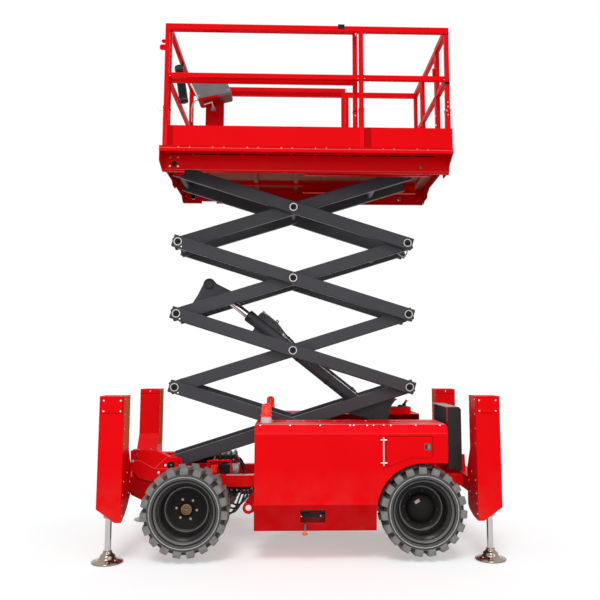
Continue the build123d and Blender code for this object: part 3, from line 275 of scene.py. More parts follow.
class Form:
    """Plain forms collected into one piece, in millimetres; end and side are the signs put on x and y."""

    def __init__(self, name, side=1):
        self.name = name
        self.end, self.side = 1, side
        self.mesh = bmesh.new()
        self.finishes = []

    def index(self, mat):
        if mat not in self.finishes:
            self.finishes.append(mat)
        return self.finishes.index(mat)

    def add(self, points, faces, mats):
        """Faces over new points; mats is one material, or one for each face."""
        verts = [self.mesh.verts.new(place((self.end * x, self.side * y, z))) for x, y, z in points]
        for i, face in enumerate(faces):
            made = self.mesh.faces.new([verts[k] for k in face])
            made.material_index = self.index(mats[i] if isinstance(mats, list) else mats)
            made.smooth = True

    def prism(self, outline, axis, low, high, mat):
        """An outline in the other two axes, from low to high along this one."""
        k, n = "xyz".index(axis), len(outline)
        points = [(*p[:k], w, *p[k:]) for w in (low, high) for p in outline]
        sides = [(i, (i + 1) % n, n + (i + 1) % n, n + i) for i in range(n)]
        self.add(points, [tuple(range(n)), tuple(range(n, 2 * n))] + sides, mat)

    def box(self, x, y, z, mat):
        self.prism([(x[0], y[0]), (x[1], y[0]), (x[1], y[1]), (x[0], y[1])], "z", z[0], z[1], mat)

    def turn(self, profile, centre, axis, mats, steps=32, closed=False):
        """(radius, distance along) points turned about an axis; mats may be one for each pair of points."""
        u, v, w = axes_of(axis)
        points, rings, faces, finishes = [], [], [], []
        for r, along in profile:
            count = steps if r > 1e-6 else 1
            rings.append(range(len(points), len(points) + count))
            for k in range(count):
                angle = 2 * math.pi * k / steps
                points.append(Vector(centre) + w * along + (u * math.cos(angle) + v * math.sin(angle)) * r)
        pairs = list(zip(rings, rings[1:])) + ([(rings[-1], rings[0])] if closed else [])
        for i, (a, b) in enumerate(pairs):
            for k in range(steps):
                near, far = (k % len(a), (k + 1) % len(a)), (k % len(b), (k + 1) % len(b))
                face = list(dict.fromkeys([a[near[0]], a[near[1]], b[far[1]], b[far[0]]]))
                if len(face) > 2:
                    faces.append(face)
                    finishes.append(mats[i] if isinstance(mats, list) else mats)
        self.add(points, faces, finishes)

    def rod(self, start, end, r, mat, steps=20, chamfer=1.0):
        way = Vector(end) - Vector(start)
        length = way.length
        inset = r - chamfer
        profile = [(0, 0), (inset, 0), (r, chamfer), (r, length - chamfer), (inset, length), (0, length)]
        self.turn(profile, start, way, mat, steps)

    def ring(self, at, axis, inner, outer, half, mat=None, steps=24):
        """A flat ring between two radii, reaching half its thickness both ways."""
        profile = [(inner, -half), (inner, half), (outer, half), (outer, -half)]
        self.turn(profile, at, axis, mat or ZINC, steps, closed=True)

    def fitting(self, at, out, r, neck, tall, length, mat):
        """A hexagon that tapers to a neck."""
        taper = tall + r - neck
        self.turn([(0, 0), (r, 0), (r, tall), (neck, taper), (neck, length), (0, length)], at, out, mat, 6)

    def bolt(self, at, out, r, mat=None, tall=0.9):
        """A hexagon head on its washer, out from a face; tall is the head's height over r."""
        washer = [(0, -0.3), (1.5, -0.3), (1.5, 0.2), (0, 0.2)]
        head = [(0, 0.1), (1, 0.1), (1, tall - 0.15), (0.8, tall), (0, tall)]
        for profile, steps in ((washer, 16), (head, 6)):
            self.turn([(across * r, along * r) for across, along in profile], at, out, mat or ZINC, steps)

    def rivet(self, at, out, r, mat=None):
        """A low domed head."""
        dome = [(0, -1), (r, -1), (r, 0.15 * r), (0.8 * r, 0.45 * r), (0.45 * r, 0.62 * r), (0, 0.68 * r)]
        self.turn(dome, at, out, mat or ZINC, 12)

    def bar(self, start, end, wide, thick, mat):
        """A flat bar between two points, as thick as given along y."""
        a, b = Vector(start), Vector(end)
        across = (b - a).normalized().cross(Vector((0, 1, 0))) * wide / 2
        out = Vector((0, thick, 0))
        points = [p + corner for p in (a, b) for corner in (-across, across, across + out, out - across)]
        faces = [(0, 1, 2, 3), (4, 5, 6, 7), (0, 1, 5, 4), (1, 2, 6, 5), (2, 3, 7, 6), (3, 0, 4, 7)]
        self.add(points, faces, mat)

    def strip(self, path, y, wide, thick, mat):
        """Flat bars through (x, z) points, on a face at y."""
        for (xa, za), (xb, zb) in zip(path, path[1:]):
            self.bar((xa, y, za), (xb, y, zb), wide, thick, mat)

    def done(self, body, slot, replaces=(), rounded=0.0):
        """Makes the object; rounded is the radius of its edges."""
        bmesh.ops.recalc_face_normals(self.mesh, faces=self.mesh.faces)
        if not rounded:
            for edge in self.mesh.edges:
                if len(edge.link_faces) == 2 and edge.calc_face_angle(0.0) > CRISP:
                    edge.smooth = False
        data = bpy.data.meshes.new(self.name)
        self.mesh.to_mesh(data)
        self.mesh.free()
        for mat in self.finishes:
            data.materials.append(mat)
        obj = new_object(self.name, data)
        if rounded:
            edges = obj.modifiers.new("edges", "BEVEL")
            edges.width = rounded * MM
            edges.segments = 2
            edges.limit_method = "ANGLE"
            edges.angle_limit = CRISP
            edges.harden_normals = True
        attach(obj, body)
        if replaces:
            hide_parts(*replaces)


def hose(name, body, points, r, mat=None):
    """A round hose or wire through a smooth route."""
    curve = bpy.data.curves.new(name, "CURVE")
    curve.dimensions = "3D"
    curve.bevel_depth = r * MM
    curve.bevel_resolution = 3
    curve.resolution_u = 6
    curve.use_fill_caps = True
    spline = curve.splines.new("NURBS")
    spline.points.add(len(points) - 1)
    for point, at in zip(spline.points, points):
        point.co = (*place(at), 1.0)
    spline.order_u = 3
    spline.use_endpoint_u = True
    curve.materials.append(mat or HOSE)
    obj = new_object(name, curve)
    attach(obj, body)


# ------------------------------------------------------------------ wheels
WHEEL_R, WHEEL_FACE, WHEEL_WIDTH, DISC_DEPTH = 350.0, 875.0, 300.0, 171.0
AXLE_X = {"front": 926.0, "rear": -985.0}
LUGS, LUG_LEAN, LUG_START = 19, math.radians(5.0), -0.1
# the profiles of tyre and rim are (radius, depth from the wheel's face) points
BEAD_SEAT = [(252, 20), (243, 34), (215, 62), (215, 236), (243, 270), (252, 284)]


def from_face(profile):
    """A profile's points as (radius, distance from the middle plane)."""
    return [(r, WHEEL_FACE - depth) for r, depth in profile]


def tyre(form, axle_x):
    """The carcass with its sidewall ribs, and two staggered rows of lugs."""
    half = [(252.4, 14), (255, 9), (260, 6), (269, 7), (273, 3), (276, 1.5), (280, 1.5), (283, 4), (287, 10),
            (293, 11), (299, 9), (306, 14), (318, 22), (325, 36)]
    far = [(r, WHEEL_WIDTH - d) for r, d in reversed(half)]
    seat = [(r + 0.4, d) for r, d in reversed(BEAD_SEAT)]
    # the ribs on the sidewall carry a painted highlight
    wall = [TYRE_SHADE] + [WALL] * 3 + [RIB_HIGHLIGHT] * 2 + [WALL] * 4
    # the tyre is darker with painted shade between its lugs, under them and at the rim
    mats = wall + [TYRE_SHADE] * 7 + wall[::-1] + [TYRE_SHADE] * len(seat) + [TYRE_SHADE]
    form.turn(from_face(half + far + seat), (axle_x, 0, WHEEL_R), "y", mats, 114, closed=True)
    # (radius, depth, half width in degrees) over a lug's top, and where it stands on the carcass
    top = [(297, 3.5, 5.7), (303, 1.5, 5.7), (334, 1.5, 5.3), (344, 7, 5.0), (350, 20, 4.7), (350, 90, 4.4),
           (346, 162, 4.2)]
    foot = [(294, 10, 6.6), (300, 11, 6.7), (316, 24, 6.5), (320, 34, 6.2), (323, 44, 5.9), (323, 95, 5.6),
            (323, 168, 5.4)]
    between, cap, last = ((0, 1, 5, 4), (0, 2, 6, 4), (1, 3, 7, 5), (2, 3, 7, 6)), (0, 1, 3, 2), len(top) - 1
    faces = [tuple(4 * i + k for k in face) for i in range(last) for face in between]
    faces += [tuple(4 * i + k for k in cap) for i in (0, last)]
    for row in (0, 1):
        for lug in range(LUGS):
            points = []
            for r, d, spread in [p for pair in zip(top, foot) for p in pair]:
                middle = 2 * math.pi / LUGS * (lug + row / 2) + LUG_LEAN * max(0.0, d - 20) / 150 + LUG_START
                y = WHEEL_FACE - (WHEEL_WIDTH - d if row else d)
                for angle in (middle - math.radians(spread), middle + math.radians(spread)):
                    points.append((axle_x + r * math.cos(angle), y, WHEEL_R + r * math.sin(angle)))
            form.add(points, faces, LUG)


def rim(form, axle_x, front):
    """The dished wheel, with its bolts, and the hub's cap or dome."""
    dish = [(0, 160), (48, 160), (54, 166), (60, DISC_DEPTH), (160, DISC_DEPTH), (165, 168), (170, 163),
            (177, 163), (181, 156), (188, 104), (195, 66), (202, 56), (216, 47), (229, 35), (236, 24),
            (242, 16), (247, 14), (252, 16)]
    profile = dish + BEAD_SEAT + [(243, 284), (205, 246), (196, 181), (0, 181)]
    centre = (axle_x, 0, WHEEL_R)
    finishes = [DISC] * 4 + [WHEEL] * (len(profile) - 5)
    for i, mat in ((6, RIM_HIGHLIGHT), (13, RIM_HIGHLIGHT), (14, RIM_HIGHLIGHT), (16, DISC), (17, DISC)):   # painted highlight rings and a dark lip
        finishes[i] = mat
    form.turn(from_face(profile), centre, "y", finishes, 96)
    count, circle, r, finish = (6, 83, 6.5, NUT) if front else (8, 139, 6.0, WHEEL)
    for k in range(count):
        angle = 2 * math.pi * k / count + 0.11
        at = (axle_x + circle * math.cos(angle), WHEEL_FACE - DISC_DEPTH, WHEEL_R + circle * math.sin(angle))
        form.bolt(at, "y", r, finish, 1.2)
    if front:
        cap = [(0, 160), (45, 160), (46, 152), (43, 148), (34, 147), (31, 151), (25, 151), (22, 147),
               (13, 146), (12, 150), (0, 150)]
        form.turn(from_face(cap), centre, "y", [BRASS] * 4 + [DISC, BRASS, DISC, BRASS, DISC, DISC], 48)
        plug = [(0, 150), (9, 150), (9, 144), (6, 141), (0, 141)]
        form.turn(from_face(plug), centre, "y", STEEL, 24)
    else:
        dome = [(0, 171), (122, 171), (120, 160), (113, 148), (100, 138), (92, 132), (64, 122), (34, 117),
                (0, 116)]
        form.turn(from_face(dome), centre, "y", DISC, 64)
        tag = [(axle_x + x, WHEEL_R + z) for x, z in ((62, 60), (24, 82), (12, 62), (50, 40))]
        form.prism(tag, "y", WHEEL_FACE - 125, WHEEL_FACE - 112, TAG)


def wheels():
    for end, axle_x in AXLE_X.items():
        for name, side in SIDE_NAMES:
            body = f"wheel_{end}_{name}"
            form = Form(f"lugged_tyre_{end}_{name}", side)
            tyre(form, axle_x)
            form.done(body, "tyre", [f"tyre_{end}_{name}"], rounded=2.5)
            form = Form(f"dished_wheel_{end}_{name}", side)
            rim(form, axle_x, end == "front")
            form.done(body, "rim", [f"rim_{end}_{name}"])


# ------------------------------------------------------------------ scissor arms
STAGES, ARM_LENGTH, REST_ANGLE = 4, 2192.5, math.radians(17.35)
PIVOT_X, PIVOT_Z = 1114.0, 662.0
RISE, RUN = ARM_LENGTH * math.sin(REST_ANGLE), ARM_LENGTH * math.cos(REST_ANGLE)
ARM_HALF, ARM_END = 56.0, 50.0
OUTER_SIDE, OUTER_FACE, INNER_SIDE, INNER_FACE = 250.0, 300.0, 193.0, 243.0
PINS = (0, ARM_LENGTH / 2, ARM_LENGTH)           # where an arm's pins are, from its lower end
BOSS = [(30.4, INNER_SIDE - 14), (30.4, INNER_SIDE + 2), (49, INNER_SIDE + 2), (49, INNER_SIDE - 12),
        (47, INNER_SIDE - 14)]


def front_pin(k):
    return PIVOT_X, PIVOT_Z + k * RISE


def rear_pin(k):
    return PIVOT_X - RUN, PIVOT_Z + k * RISE


class ArmLine:
    """Places things on one arm: s runs from its lower end pin, t is square to it, upward."""

    def __init__(self, lower, upper):
        self.lower = lower
        self.along = ((upper[0] - lower[0]) / ARM_LENGTH, (upper[1] - lower[1]) / ARM_LENGTH)
        sign = 1 if self.along[0] > 0 else -1
        self.up = (-sign * self.along[1], sign * self.along[0])

    def at(self, s, t=0.0):
        x, z = (start + s * a + t * u for start, a, u in zip(self.lower, self.along, self.up))
        return x, z


def box_arms(kind, stage, line, y0, y1):
    """A pair's two box-section arms; their edges are rounded when the piece is made."""
    form = Form(f"{kind}_box_arms_{stage}")
    low, high = -ARM_END, ARM_LENGTH + ARM_END
    corners = ((low, ARM_HALF), (high, ARM_HALF), (high, -ARM_HALF), (low, -ARM_HALF))
    for side in SIDES:
        form.side = side
        form.prism([line.at(s, t) for s, t in corners], "y", y0, y1, CHARCOAL)
    form.done(f"{kind}_pair_{stage}", "charcoal_paint", [f"{kind}_arms_{stage}"], rounded=7)


def inner_bosses(stage, line):
    """The bosses between an inner pair's arms; the last pair's upper ends have pins for shoes instead."""
    form = Form(f"inner_bosses_{stage}")
    for side in SIDES:
        form.side = side
        for s in PINS:
            x, z = line.at(s)
            if stage == STAGES and s == ARM_LENGTH:
                form.rod((x, INNER_FACE, z), (x, 353, z), 22, DULL)
                form.rod((x, INNER_FACE, z), (x, 306, z), 35, CHARCOAL)
            else:
                form.turn(BOSS, (x, 0, z), "y", CHARCOAL, 40, closed=True)
    form.done(f"inner_pair_{stage}", "charcoal_paint")


def pin_faces(stage, line):
    """What shows of the pins on the outer arms: a ring, the recess, its collar and the nut."""
    parts = (([(0, 299), (47, 299), (47, 300.8), (0, 300.8)], BLACK, 40),
             ([(0, 299), (29, 299), (29, 301.6), (0, 301.6)], DARK, 32),
             ([(27, 299), (27, 305), (29, 307), (37, 307), (39, 304.5), (39, 299)], STEEL, 48),
             ([(0, 300), (13, 300), (13, 305), (10, 306.5), (0, 306.5)], DARK, 6))
    form = Form(f"pin_faces_{stage}")
    for side in SIDES:
        form.side = side
        for s in PINS:
            if (stage == 1 and s == 0) or (stage == STAGES and s == ARM_LENGTH):
                continue
            x, z = line.at(s)
            for profile, mat, steps in parts:
                form.turn(profile, (x, 0, z), "y", mat, steps, closed=profile[0][0] > 0)
            if s == ARM_LENGTH:                # the plate that keeps the pin from turning
                x, z = line.at(s - 34, -40)
                form.box((x - 22, x + 22), (OUTER_FACE - 1, OUTER_FACE + 4), (z - 8, z + 8), CHARCOAL)
                form.bolt((x - 12, OUTER_FACE + 4, z), "y", 4.5)
    form.done(f"outer_pair_{stage}", "shaft")


def arms():
    for stage in range(1, STAGES + 1):
        line = ArmLine(front_pin(stage - 1), rear_pin(stage))
        box_arms("inner", stage, line, INNER_SIDE, INNER_FACE)
        inner_bosses(stage, line)
        line = ArmLine(rear_pin(stage - 1), front_pin(stage))
        box_arms("outer", stage, line, OUTER_SIDE, OUTER_FACE)
        pin_faces(stage, line)


# ------------------------------------------------------------------ chassis trim
HOUSING_X, HOUSING_Y, HOUSING_TOP = (1415.0, 1611.0), (665.0, 884.0), 1264.0
LEG_X, LEG_Y = 1535.0, 770.0
COVER_X, COVER_FACE, COVER_TOP, COVER_FOLD = (-1181.0, 374.0), 875.0, 1035.0, 963.0
SILL_X, SILL_Z, SILL_TUCK = (-604.0, 373.5), (205, 409), 30.0
DOOR = [(-683, 701), (-737, 716), (-791, 737), (-846, 758), (-900, 770), (-1045, 770), (-1062, 787),
        (-1062, 943), (-683, 943)]
TOW_EYE, BEACON_X, BEACON_Y = (434, 0, 329), 288, 660
PIVOT_FACE, PIVOT_KNOB = 392, (1112, 0, 659)


def housings():
    """Cover plates, cap lips, inner panels and bolts of the four outrigger housings."""
    form = Form("housing_trim")
    (x0, x1), (y0, y1), top = HOUSING_X, HOUSING_Y, HOUSING_TOP
    plate = [(x0 + 14, top - 20), (x1 - 20, top - 20), (x1 - 20, top - 132), (x0 + 14, top - 132)]
    shadow = [(x0 + 13, top - 19), (x1 - 19, top - 19), (x1 - 19, top - 136), (x0 + 10, top - 136)]
    gland = [(27, 300), (27, 330), (42, 330), (42, 306), (38, 300)]
    for end in SIDES:
        for side in SIDES:
            form.end, form.side = end, side
            # the bolted plate near the top of the outer face, and the dark line round it
            form.prism(plate, "y", y1 + 0.8, y1 + 3, RED)
            form.prism(shadow, "y", y1 - 1, y1 + 0.8, RED_DEEP)
            for x in (x0 + 28, x1 - 34):
                for z in (top - 34, top - 118):
                    form.bolt((x, y1 + 3, z), "y", 4.4)
            # the cap's lip round the top, and a dark line and a rivet on the face toward the middle
            form.box((x0 - 2, x1 + 1), (y0 - 2, y1 + 0.5), (top - 5, top), RED)
            form.box((x0 + 3, x1 - 3), (y0 - 3, y0), (top - 46, top - 42), RED_DEEP)
            form.rivet((x0 + 98, y0, top - 22), "-y", 7)
            # the panel that faces the wheels; its orange, on all but the left rear housing, is a painted
            # reflection
            panel = [(y1 - 14, top - 14), (y0 + 12, top - 14), (y0 + 12, 838)]
            panel += [(y1 - 14, 838)] if side == 1 else [(y0 - 42, 712), (y1 - 14, 712)]
            form.prism(panel, "x", x0 - 1.6, x0, ORANGE_REFLECTION if end == 1 or side == -1 else RED)
            for z in (1238, 1120, 1004, 888):
                form.rivet((x0 - 1.6, y1 - 24, z), "-x", 5.5)
                form.rivet((x0 - 1.6, y0 + 22, z - 30), "-x", 4.5)
            for y, z in ((822, 589), (606, 554), (843, 488), (858, 411), (700, 640), (640, 470), (858, 330)):
                form.rivet((x0, y, z), "-x", 6)
                form.rivet((x1, y, z + 110), "x", 6)
            # the gland where the leg comes out
            form.turn(gland, (LEG_X, LEG_Y, 0), "z", STEEL, 32, closed=True)
    form.done("chassis", "red_paint")


def legs():
    """Chrome legs on pressed pads with a rolled rim; the pads stand lower than the wheels."""
    pad = [(0, 3), (96, 3), (101, 0), (119, 0), (124.2, 4), (124.8, 10), (122, 15), (112, 17), (88, 23),
           (70, 31), (63, 39), (61, 52), (55, 62), (44, 68), (38, 76), (36, 92), (28, 95), (0, 95)]
    leg = [(0, 80), (26, 80), (26, HOUSING_TOP - 250), (0, HOUSING_TOP - 250)]
    for end_name, end in END_NAMES:
        for side_name, side in SIDE_NAMES:
            form = Form(f"chrome_leg_{end_name}_{side_name}")
            x, y, foot = end * LEG_X, side * LEG_Y, -WHEELS_Z / MM
            form.turn(pad, (x, y, foot), "z", PAD, 72)
            form.turn(leg, (x, y, foot), "z", CHROME, 48)
            for angle in (0.5, 2.6, 4.7):
                form.bolt((x + 78 * math.cos(angle), y + 78 * math.sin(angle), foot + 26), "z", 5)
            body = f"outrigger_leg_{end_name}_{side_name}"
            form.done(body, "chrome", [body])


def latch_recess(form):
    """The recess low in a cover with its latch bar, and the toggle and knob that hang beside it."""
    (x0, x1), (z0, z1), y0, y1 = (-194, 6), (268, 370), 806, 848
    form.box((x0 - 4, x1 + 4), (y0, y0 + 4), (z0 - 4, z1 + 4), RED_DEEP)
    for low, high in ((z0 - 4, z0), (z1, z1 + 4)):
        form.box((x0 - 4, x1 + 4), (y0, y1), (low, high), RED_DEEP)
    for low, high in ((x0 - 4, x0), (x1, x1 + 4)):
        form.box((low, high), (y0, y1), (z0, z1), RED_DEEP)
    form.box((x0 + 8, x1 - 8), (812, 816), (300, 362), BLACK)
    form.box((-172, -20), (838, 850), (311, 343), DARK)
    form.box((-150, -70), (830, 842), (341, 349), RED_DEEP)
    for x in (-180, -12):
        form.rod((x, 812, 326), (x, 850, 326), 11, DARK)
    form.bolt((-158, 850, 322), "y", 4.5, STEEL)
    form.rod((-4, 812, 318), (-4, 846, 318), 6, ZINC)
    form.rod((-20, 858, 312), (-35, 868, 262), 5, DARK)
    form.rod((-35, 868, 262), (-33, 866, 214), 8, LATCH)
    form.bar((-38, 868, 262), (-62, 866, 228), 5, 3, DARK)
    knob = [(0, 172), (12, 174), (22, 180), (23, 188), (14, 196), (8, 206), (7, 218), (0, 218)]
    form.turn(knob, (-32, 864, 0), "z", GLOW, 24)
    form.turn([(0, 196), (11, 197), (11, 206), (0, 208)], (-32, 864, 0), "z", TAG, 20)


def cover_trim(name, side):
    """Fasteners, fold, sill, latch recess and tow collar of one side cover, and its door's trim."""
    form = Form(f"cover_trim_{name}", side)
    x0, x1 = COVER_X
    for x in (331, 89, -153, -396, -425, -534, -587, -669, -726, -930, -1126):
        form.bolt((x, 846, 1029), (0, 0.914, 0.406), 4.0, tall=1.2)       # square to the sloping face
    for x in (240, 107, -27, -160, -293, -560, -830, -1100):
        form.bolt((x, 490, COVER_TOP), "z", 5.5)
    form.box((x0 + 8, x1 - 8), (560, 563), (COVER_TOP - 1, COVER_TOP + 2), RED_DEEP)
    for x, low in ((x0 + 4, 734), (x1 - 4, 412)):                         # rolled end edges
        form.rod((x, COVER_FACE - 4.2, low), (x, COVER_FACE - 4.2, COVER_FOLD - 4), 4, RED, 12)
    lip, fold = COVER_FACE + 0.5, COVER_FOLD + 1
    slope = [(lip, fold), (lip - 31, COVER_TOP - 1), (lip - 33, COVER_TOP - 1), (lip - 2, fold)]
    form.prism(slope, "x", x0 + 2, x1 - 2, RED_LIT)
    # a painted highlight along the fold
    form.box((x0 + 1, x1 - 1), (lip - 2, lip + 0.3), (fold - 3, fold + 1), RED_LINE_HIGHLIGHT)
    # a painted highlight along the cover's top
    form.box((x0 + 20, x1 - 20), (COVER_FACE - 54, COVER_FACE - 42), (COVER_TOP - 1, COVER_TOP + 1), RED_TOP_HIGHLIGHT)
    # the sill, which leans inward below its fold and leaves the latch recess open; it is darker with painted
    # shade
    (z0, z1), (r0, r1) = SILL_Z, (-198, 10)
    panels = ((SILL_X[0], r0, z0, z1), (r1, SILL_X[1], z0, z1), (r0, r1, z0, 264), (r0, r1, 374, z1))
    for xa, xb, za, zb in panels:
        ya, yb = (COVER_FACE - SILL_TUCK * (z1 - z) / (z1 - z0) for z in (za, zb))
        form.prism([(ya + 0.6, za), (yb + 0.6, zb), (yb - 1, zb), (ya - 1, za)], "x", xa, xb, RED_IN_SHADE)
    form.strip(DOOR + DOOR[:1], COVER_FACE - 11, 26, 4, RED_DEEP)         # seen in the gap round the door
    latch_recess(form)
    for z in (736, 916):                                                  # the hinge rod's cross bolts
        form.rod((-690, 886, z), (-636, 886, z), 6, ZINC, 12)
    # the collar of the tow eye, its plate and its wedge; the plate and the wedge are darker with painted
    # shade
    collar = [(26, 553), (26, 575), (34, 577), (43, 573), (43, 555), (34, 551)]
    form.turn(collar, TOW_EYE, "y", RED, 48, closed=True)
    form.ring((TOW_EYE[0], 564, TOW_EYE[2]), "y", 27, 48, 9, RED_IN_SHADE, 56)
    form.prism([(374, 478), (462, 382), (430, 366), (374, 366)], "y", 555, 573, RED_IN_SHADE)
    form.done("chassis", "red_paint")

    form = Form(f"door_trim_{name}", side)
    form.rod((-662, 884, 714), (-662, 884, 938), 8, CHROME, 24)
    # the latch: its frame, its two plates and the lock
    form.box((-1044, -994), (COVER_FACE - 1, COVER_FACE + 3), (834, 884), LATCH)
    form.box((-1038, -1018), (COVER_FACE + 2, COVER_FACE + 5), (842, 876), GREY)
    form.box((-1012, -1000), (COVER_FACE + 2, COVER_FACE + 4.5), (842, 876), DARK)
    form.rod((-1028, COVER_FACE + 3, 859), (-1028, COVER_FACE + 8, 859), 6, STEEL)
    form.done(f"service_door_{name}", "chrome")


def pivot_trim():
    """Bend lines with painted highlights, knob, lower faces darker with painted shade, bolts and weld on the
    boxes that hold the lowest front pins.
    """
    form = Form("pivot_box_trim")
    form.ring((1409, PIVOT_FACE - 6.5, 754), "y", 18, 21, 7.5, RED_DEEP)
    bends = {1: [(1459, 695), (1382, 694), (1252, 626), (1115, 626)],
             -1: [(1440, 640), (1252, 626), (1115, 626)]}
    knob = [(0, 391), (31, 391), (31, 399), (28, 404), (20, 405), (17, 401), (0, 401)]
    belly = [(1452, 452), (1452, 408), (1358, 362), (1250, 311), (1080, 301), (1012, 331), (998, 410),
             (998, 452)]
    under = [(1414, 578), (1378, 538), (1275, 513), (1194, 535)]
    for side in SIDES:
        form.side = side
        # painted highlights along the plate's bends
        form.strip(bends[side], PIVOT_FACE - 1, 3.5, 2.2, RED_EDGE_HIGHLIGHT)
        form.strip([(1252, 626), (1152, 700 + 22 * side)], PIVOT_FACE - 1, 3.5, 2.2, RED_EDGE_HIGHLIGHT)
        form.turn(knob, PIVOT_KNOB, "y", DARK, 40)
        form.turn([(0, 400), (9, 400), (9, 405), (0, 405)], PIVOT_KNOB, "y", GREY, 6)
        for x, z in ((1159, 655), (1217, 593), (1438, 690), (1438, 560)):
            form.bolt((x, PIVOT_FACE, z), "y", 7)
        # painted shade on the boxes' lower faces, with a darker line under them
        form.prism(belly, "y", 379, 381, RED_IN_SHADE)
        form.prism([(1452, 578)] + under + [(1194, 453), (1452, 453)], "y", 379, 381, RED_IN_SHADE)
        form.strip(under, 381, 9, 2, RED_DEEP)
        # the weld between the box and the end member
        form.rod((1452, PIVOT_FACE - 5, 600), (1452, PIVOT_FACE - 5, 770 if side == 1 else 668), 4, RED, 12)
    form.done("chassis", "red_paint")


def beacons():
    """The two warning lamps: a white base, and a ribbed red lens with two orange ribs."""
    base = [(0, 0), (48, 0), (48, 5), (45, 8), (44, 44), (40, 52), (30, 54), (0, 54)]
    lens = [(0, 53), (48, 53), (48.5, 62), (44, 66), (41, 70), (40, 128), (37, 142), (29, 152), (16, 158),
            (0, 160)]
    form = Form("beacon_lamps")
    for side in SIDES:
        x, y = BEACON_X, side * BEACON_Y
        form.turn(base, (x, y, COVER_TOP), "z", WHITE, 48)
        # the lens, with a painted glow
        form.turn(lens, (x, y, COVER_TOP), "z", GLOWING_RED, 48)
        for z, mat in ((78, GLOWING_RED), (92, GLOW), (106, GLOW), (120, GLOWING_RED)):
            rib = [(40, z - 3), (42, z), (40, z + 3), (38, z)]
            form.turn(rib, (x, y, COVER_TOP), "z", mat, 48, closed=True)
        for angle in (0.8, 2.9, 5.0):
            out = (math.cos(angle), math.sin(angle), 0)
            form.rivet((x + 45 * out[0], y + 45 * out[1], COVER_TOP + 24), out, 4)
    form.done("chassis", "lamp", ["beacons"])


def manifold(form):
    """The coils on the valve block between the front beams, and the fittings down both sides of it."""
    coil = [(0, 655), (15, 655), (15, 668), (20, 670), (20, 712), (15, 715), (8, 716), (8, 728), (0, 729)]
    for x in (596, 644, 692, 740):
        for y in (-100, -30, 40, 110):
            form.turn(coil, (x, y, 0), "z", [ZINC] * 2 + [SILVER] * 3 + [ZINC] * 3, 20)
            form.box((x - 17, x + 17), (y + 20, y + 34), (672, 704), DARK)
    for y, out in ((-150, "-y"), (150, "y")):
        for x in (590, 640, 690, 740):
            form.fitting((x, y, 610), out, 14, 10, 16, 34, ZINC)


def pump_gear(form):
    """Beside the valve block: ribbed motor on its stand, filter, slanted plate and guard loop."""
    form.box((618, 712), (166, 286), (566, 640), DARK)
    motor_end = (640, 215, 596)
    motor = [(0, 0), (46, 0), (48, 6), (48, 96), (40, 104), (16, 108), (0, 108)]
    form.turn(motor, motor_end, "-x", SILVER, 40)
    for along in range(12, 102, 18):
        rib = [(48, along), (51, along + 3), (48, along + 6)]
        form.turn(rib, motor_end, "-x", ZINC, 40, closed=True)
    # the filter, red with a painted glow
    form.turn([(0, 0), (26, 0), (28, 4), (28, 60), (20, 66), (0, 66)], (760, 226, 566), "z", GLOWING_RED, 32)
    form.prism([(588, 716), (598, 722), (520, 566), (505, 566)], "y", -60, 40, RED_DEEP)
    form.prism([(588, 716), (598, 722), (592, 566), (580, 566)], "y", -70, -60, RED_DEEP)
    for x in (604, 806):
        form.rod((x, 292, 566), (x, 292, 676), 8, RED)
    form.rod((598, 292, 676), (812, 292, 676), 8, RED)
    for x in (402, 520, 700, 820):
        form.bolt((x, 343, 565), "z", 9)
    # the bracket, the block with its fittings and the tank hung under the beam
    form.box((404, 512), (250, 300), (392, 470), RED_DEEP)
    form.box((520, 620), (180, 296), (404, 462), DARK)
    form.rod((420, 120, 430), (640, 120, 430), 34, BLACK, 32, 6)
    for x in (452, 488, 548, 596):
        form.fitting((x, 290, 432), "y", 12, 8, 12, 30, STEEL)
    form.bolt((428, 300, 446), "y", 8)


def hand_pump(form):
    """The hand pump's plate, socket and cranked lever with its red grip."""
    form.rod((-1062, -540, 1066), (-1062, -540, 1126), 20, DARK, 24, 4)
    form.rod((-1010, -450, 1094), (-1010, -450, 1118), 26, BLACK, 24, 3)
    form.box((-1100, -880), (-562, -418), (1092, 1099), BLACK)
    for x in (-1090, -870):
        form.bolt((x, -430, 1097), "z", 7)
    bends = [(-908, 1046), (-949, 1066), (-995, 1066), (-1040, 1084), (-1071, 1110), (-1091, 1140),
             (-1104, 1156)]
    lengths = list(zip(bends, bends[1:]))
    for (xa, za), (xb, zb) in lengths[:-1]:
        form.rod((xa, -612, za), (xb, -612, zb), 12, DARK, 16)
    (xa, za), (xb, zb) = lengths[-1]
    # the grip, red with a painted glow
    form.rod((xa, -612, za), (xb, -612, zb), 14, GLOWING_RED, 16)
    form.rod((-1010, -560, 1072), (-1010, -620, 1072), 10, DARK, 16, 2)


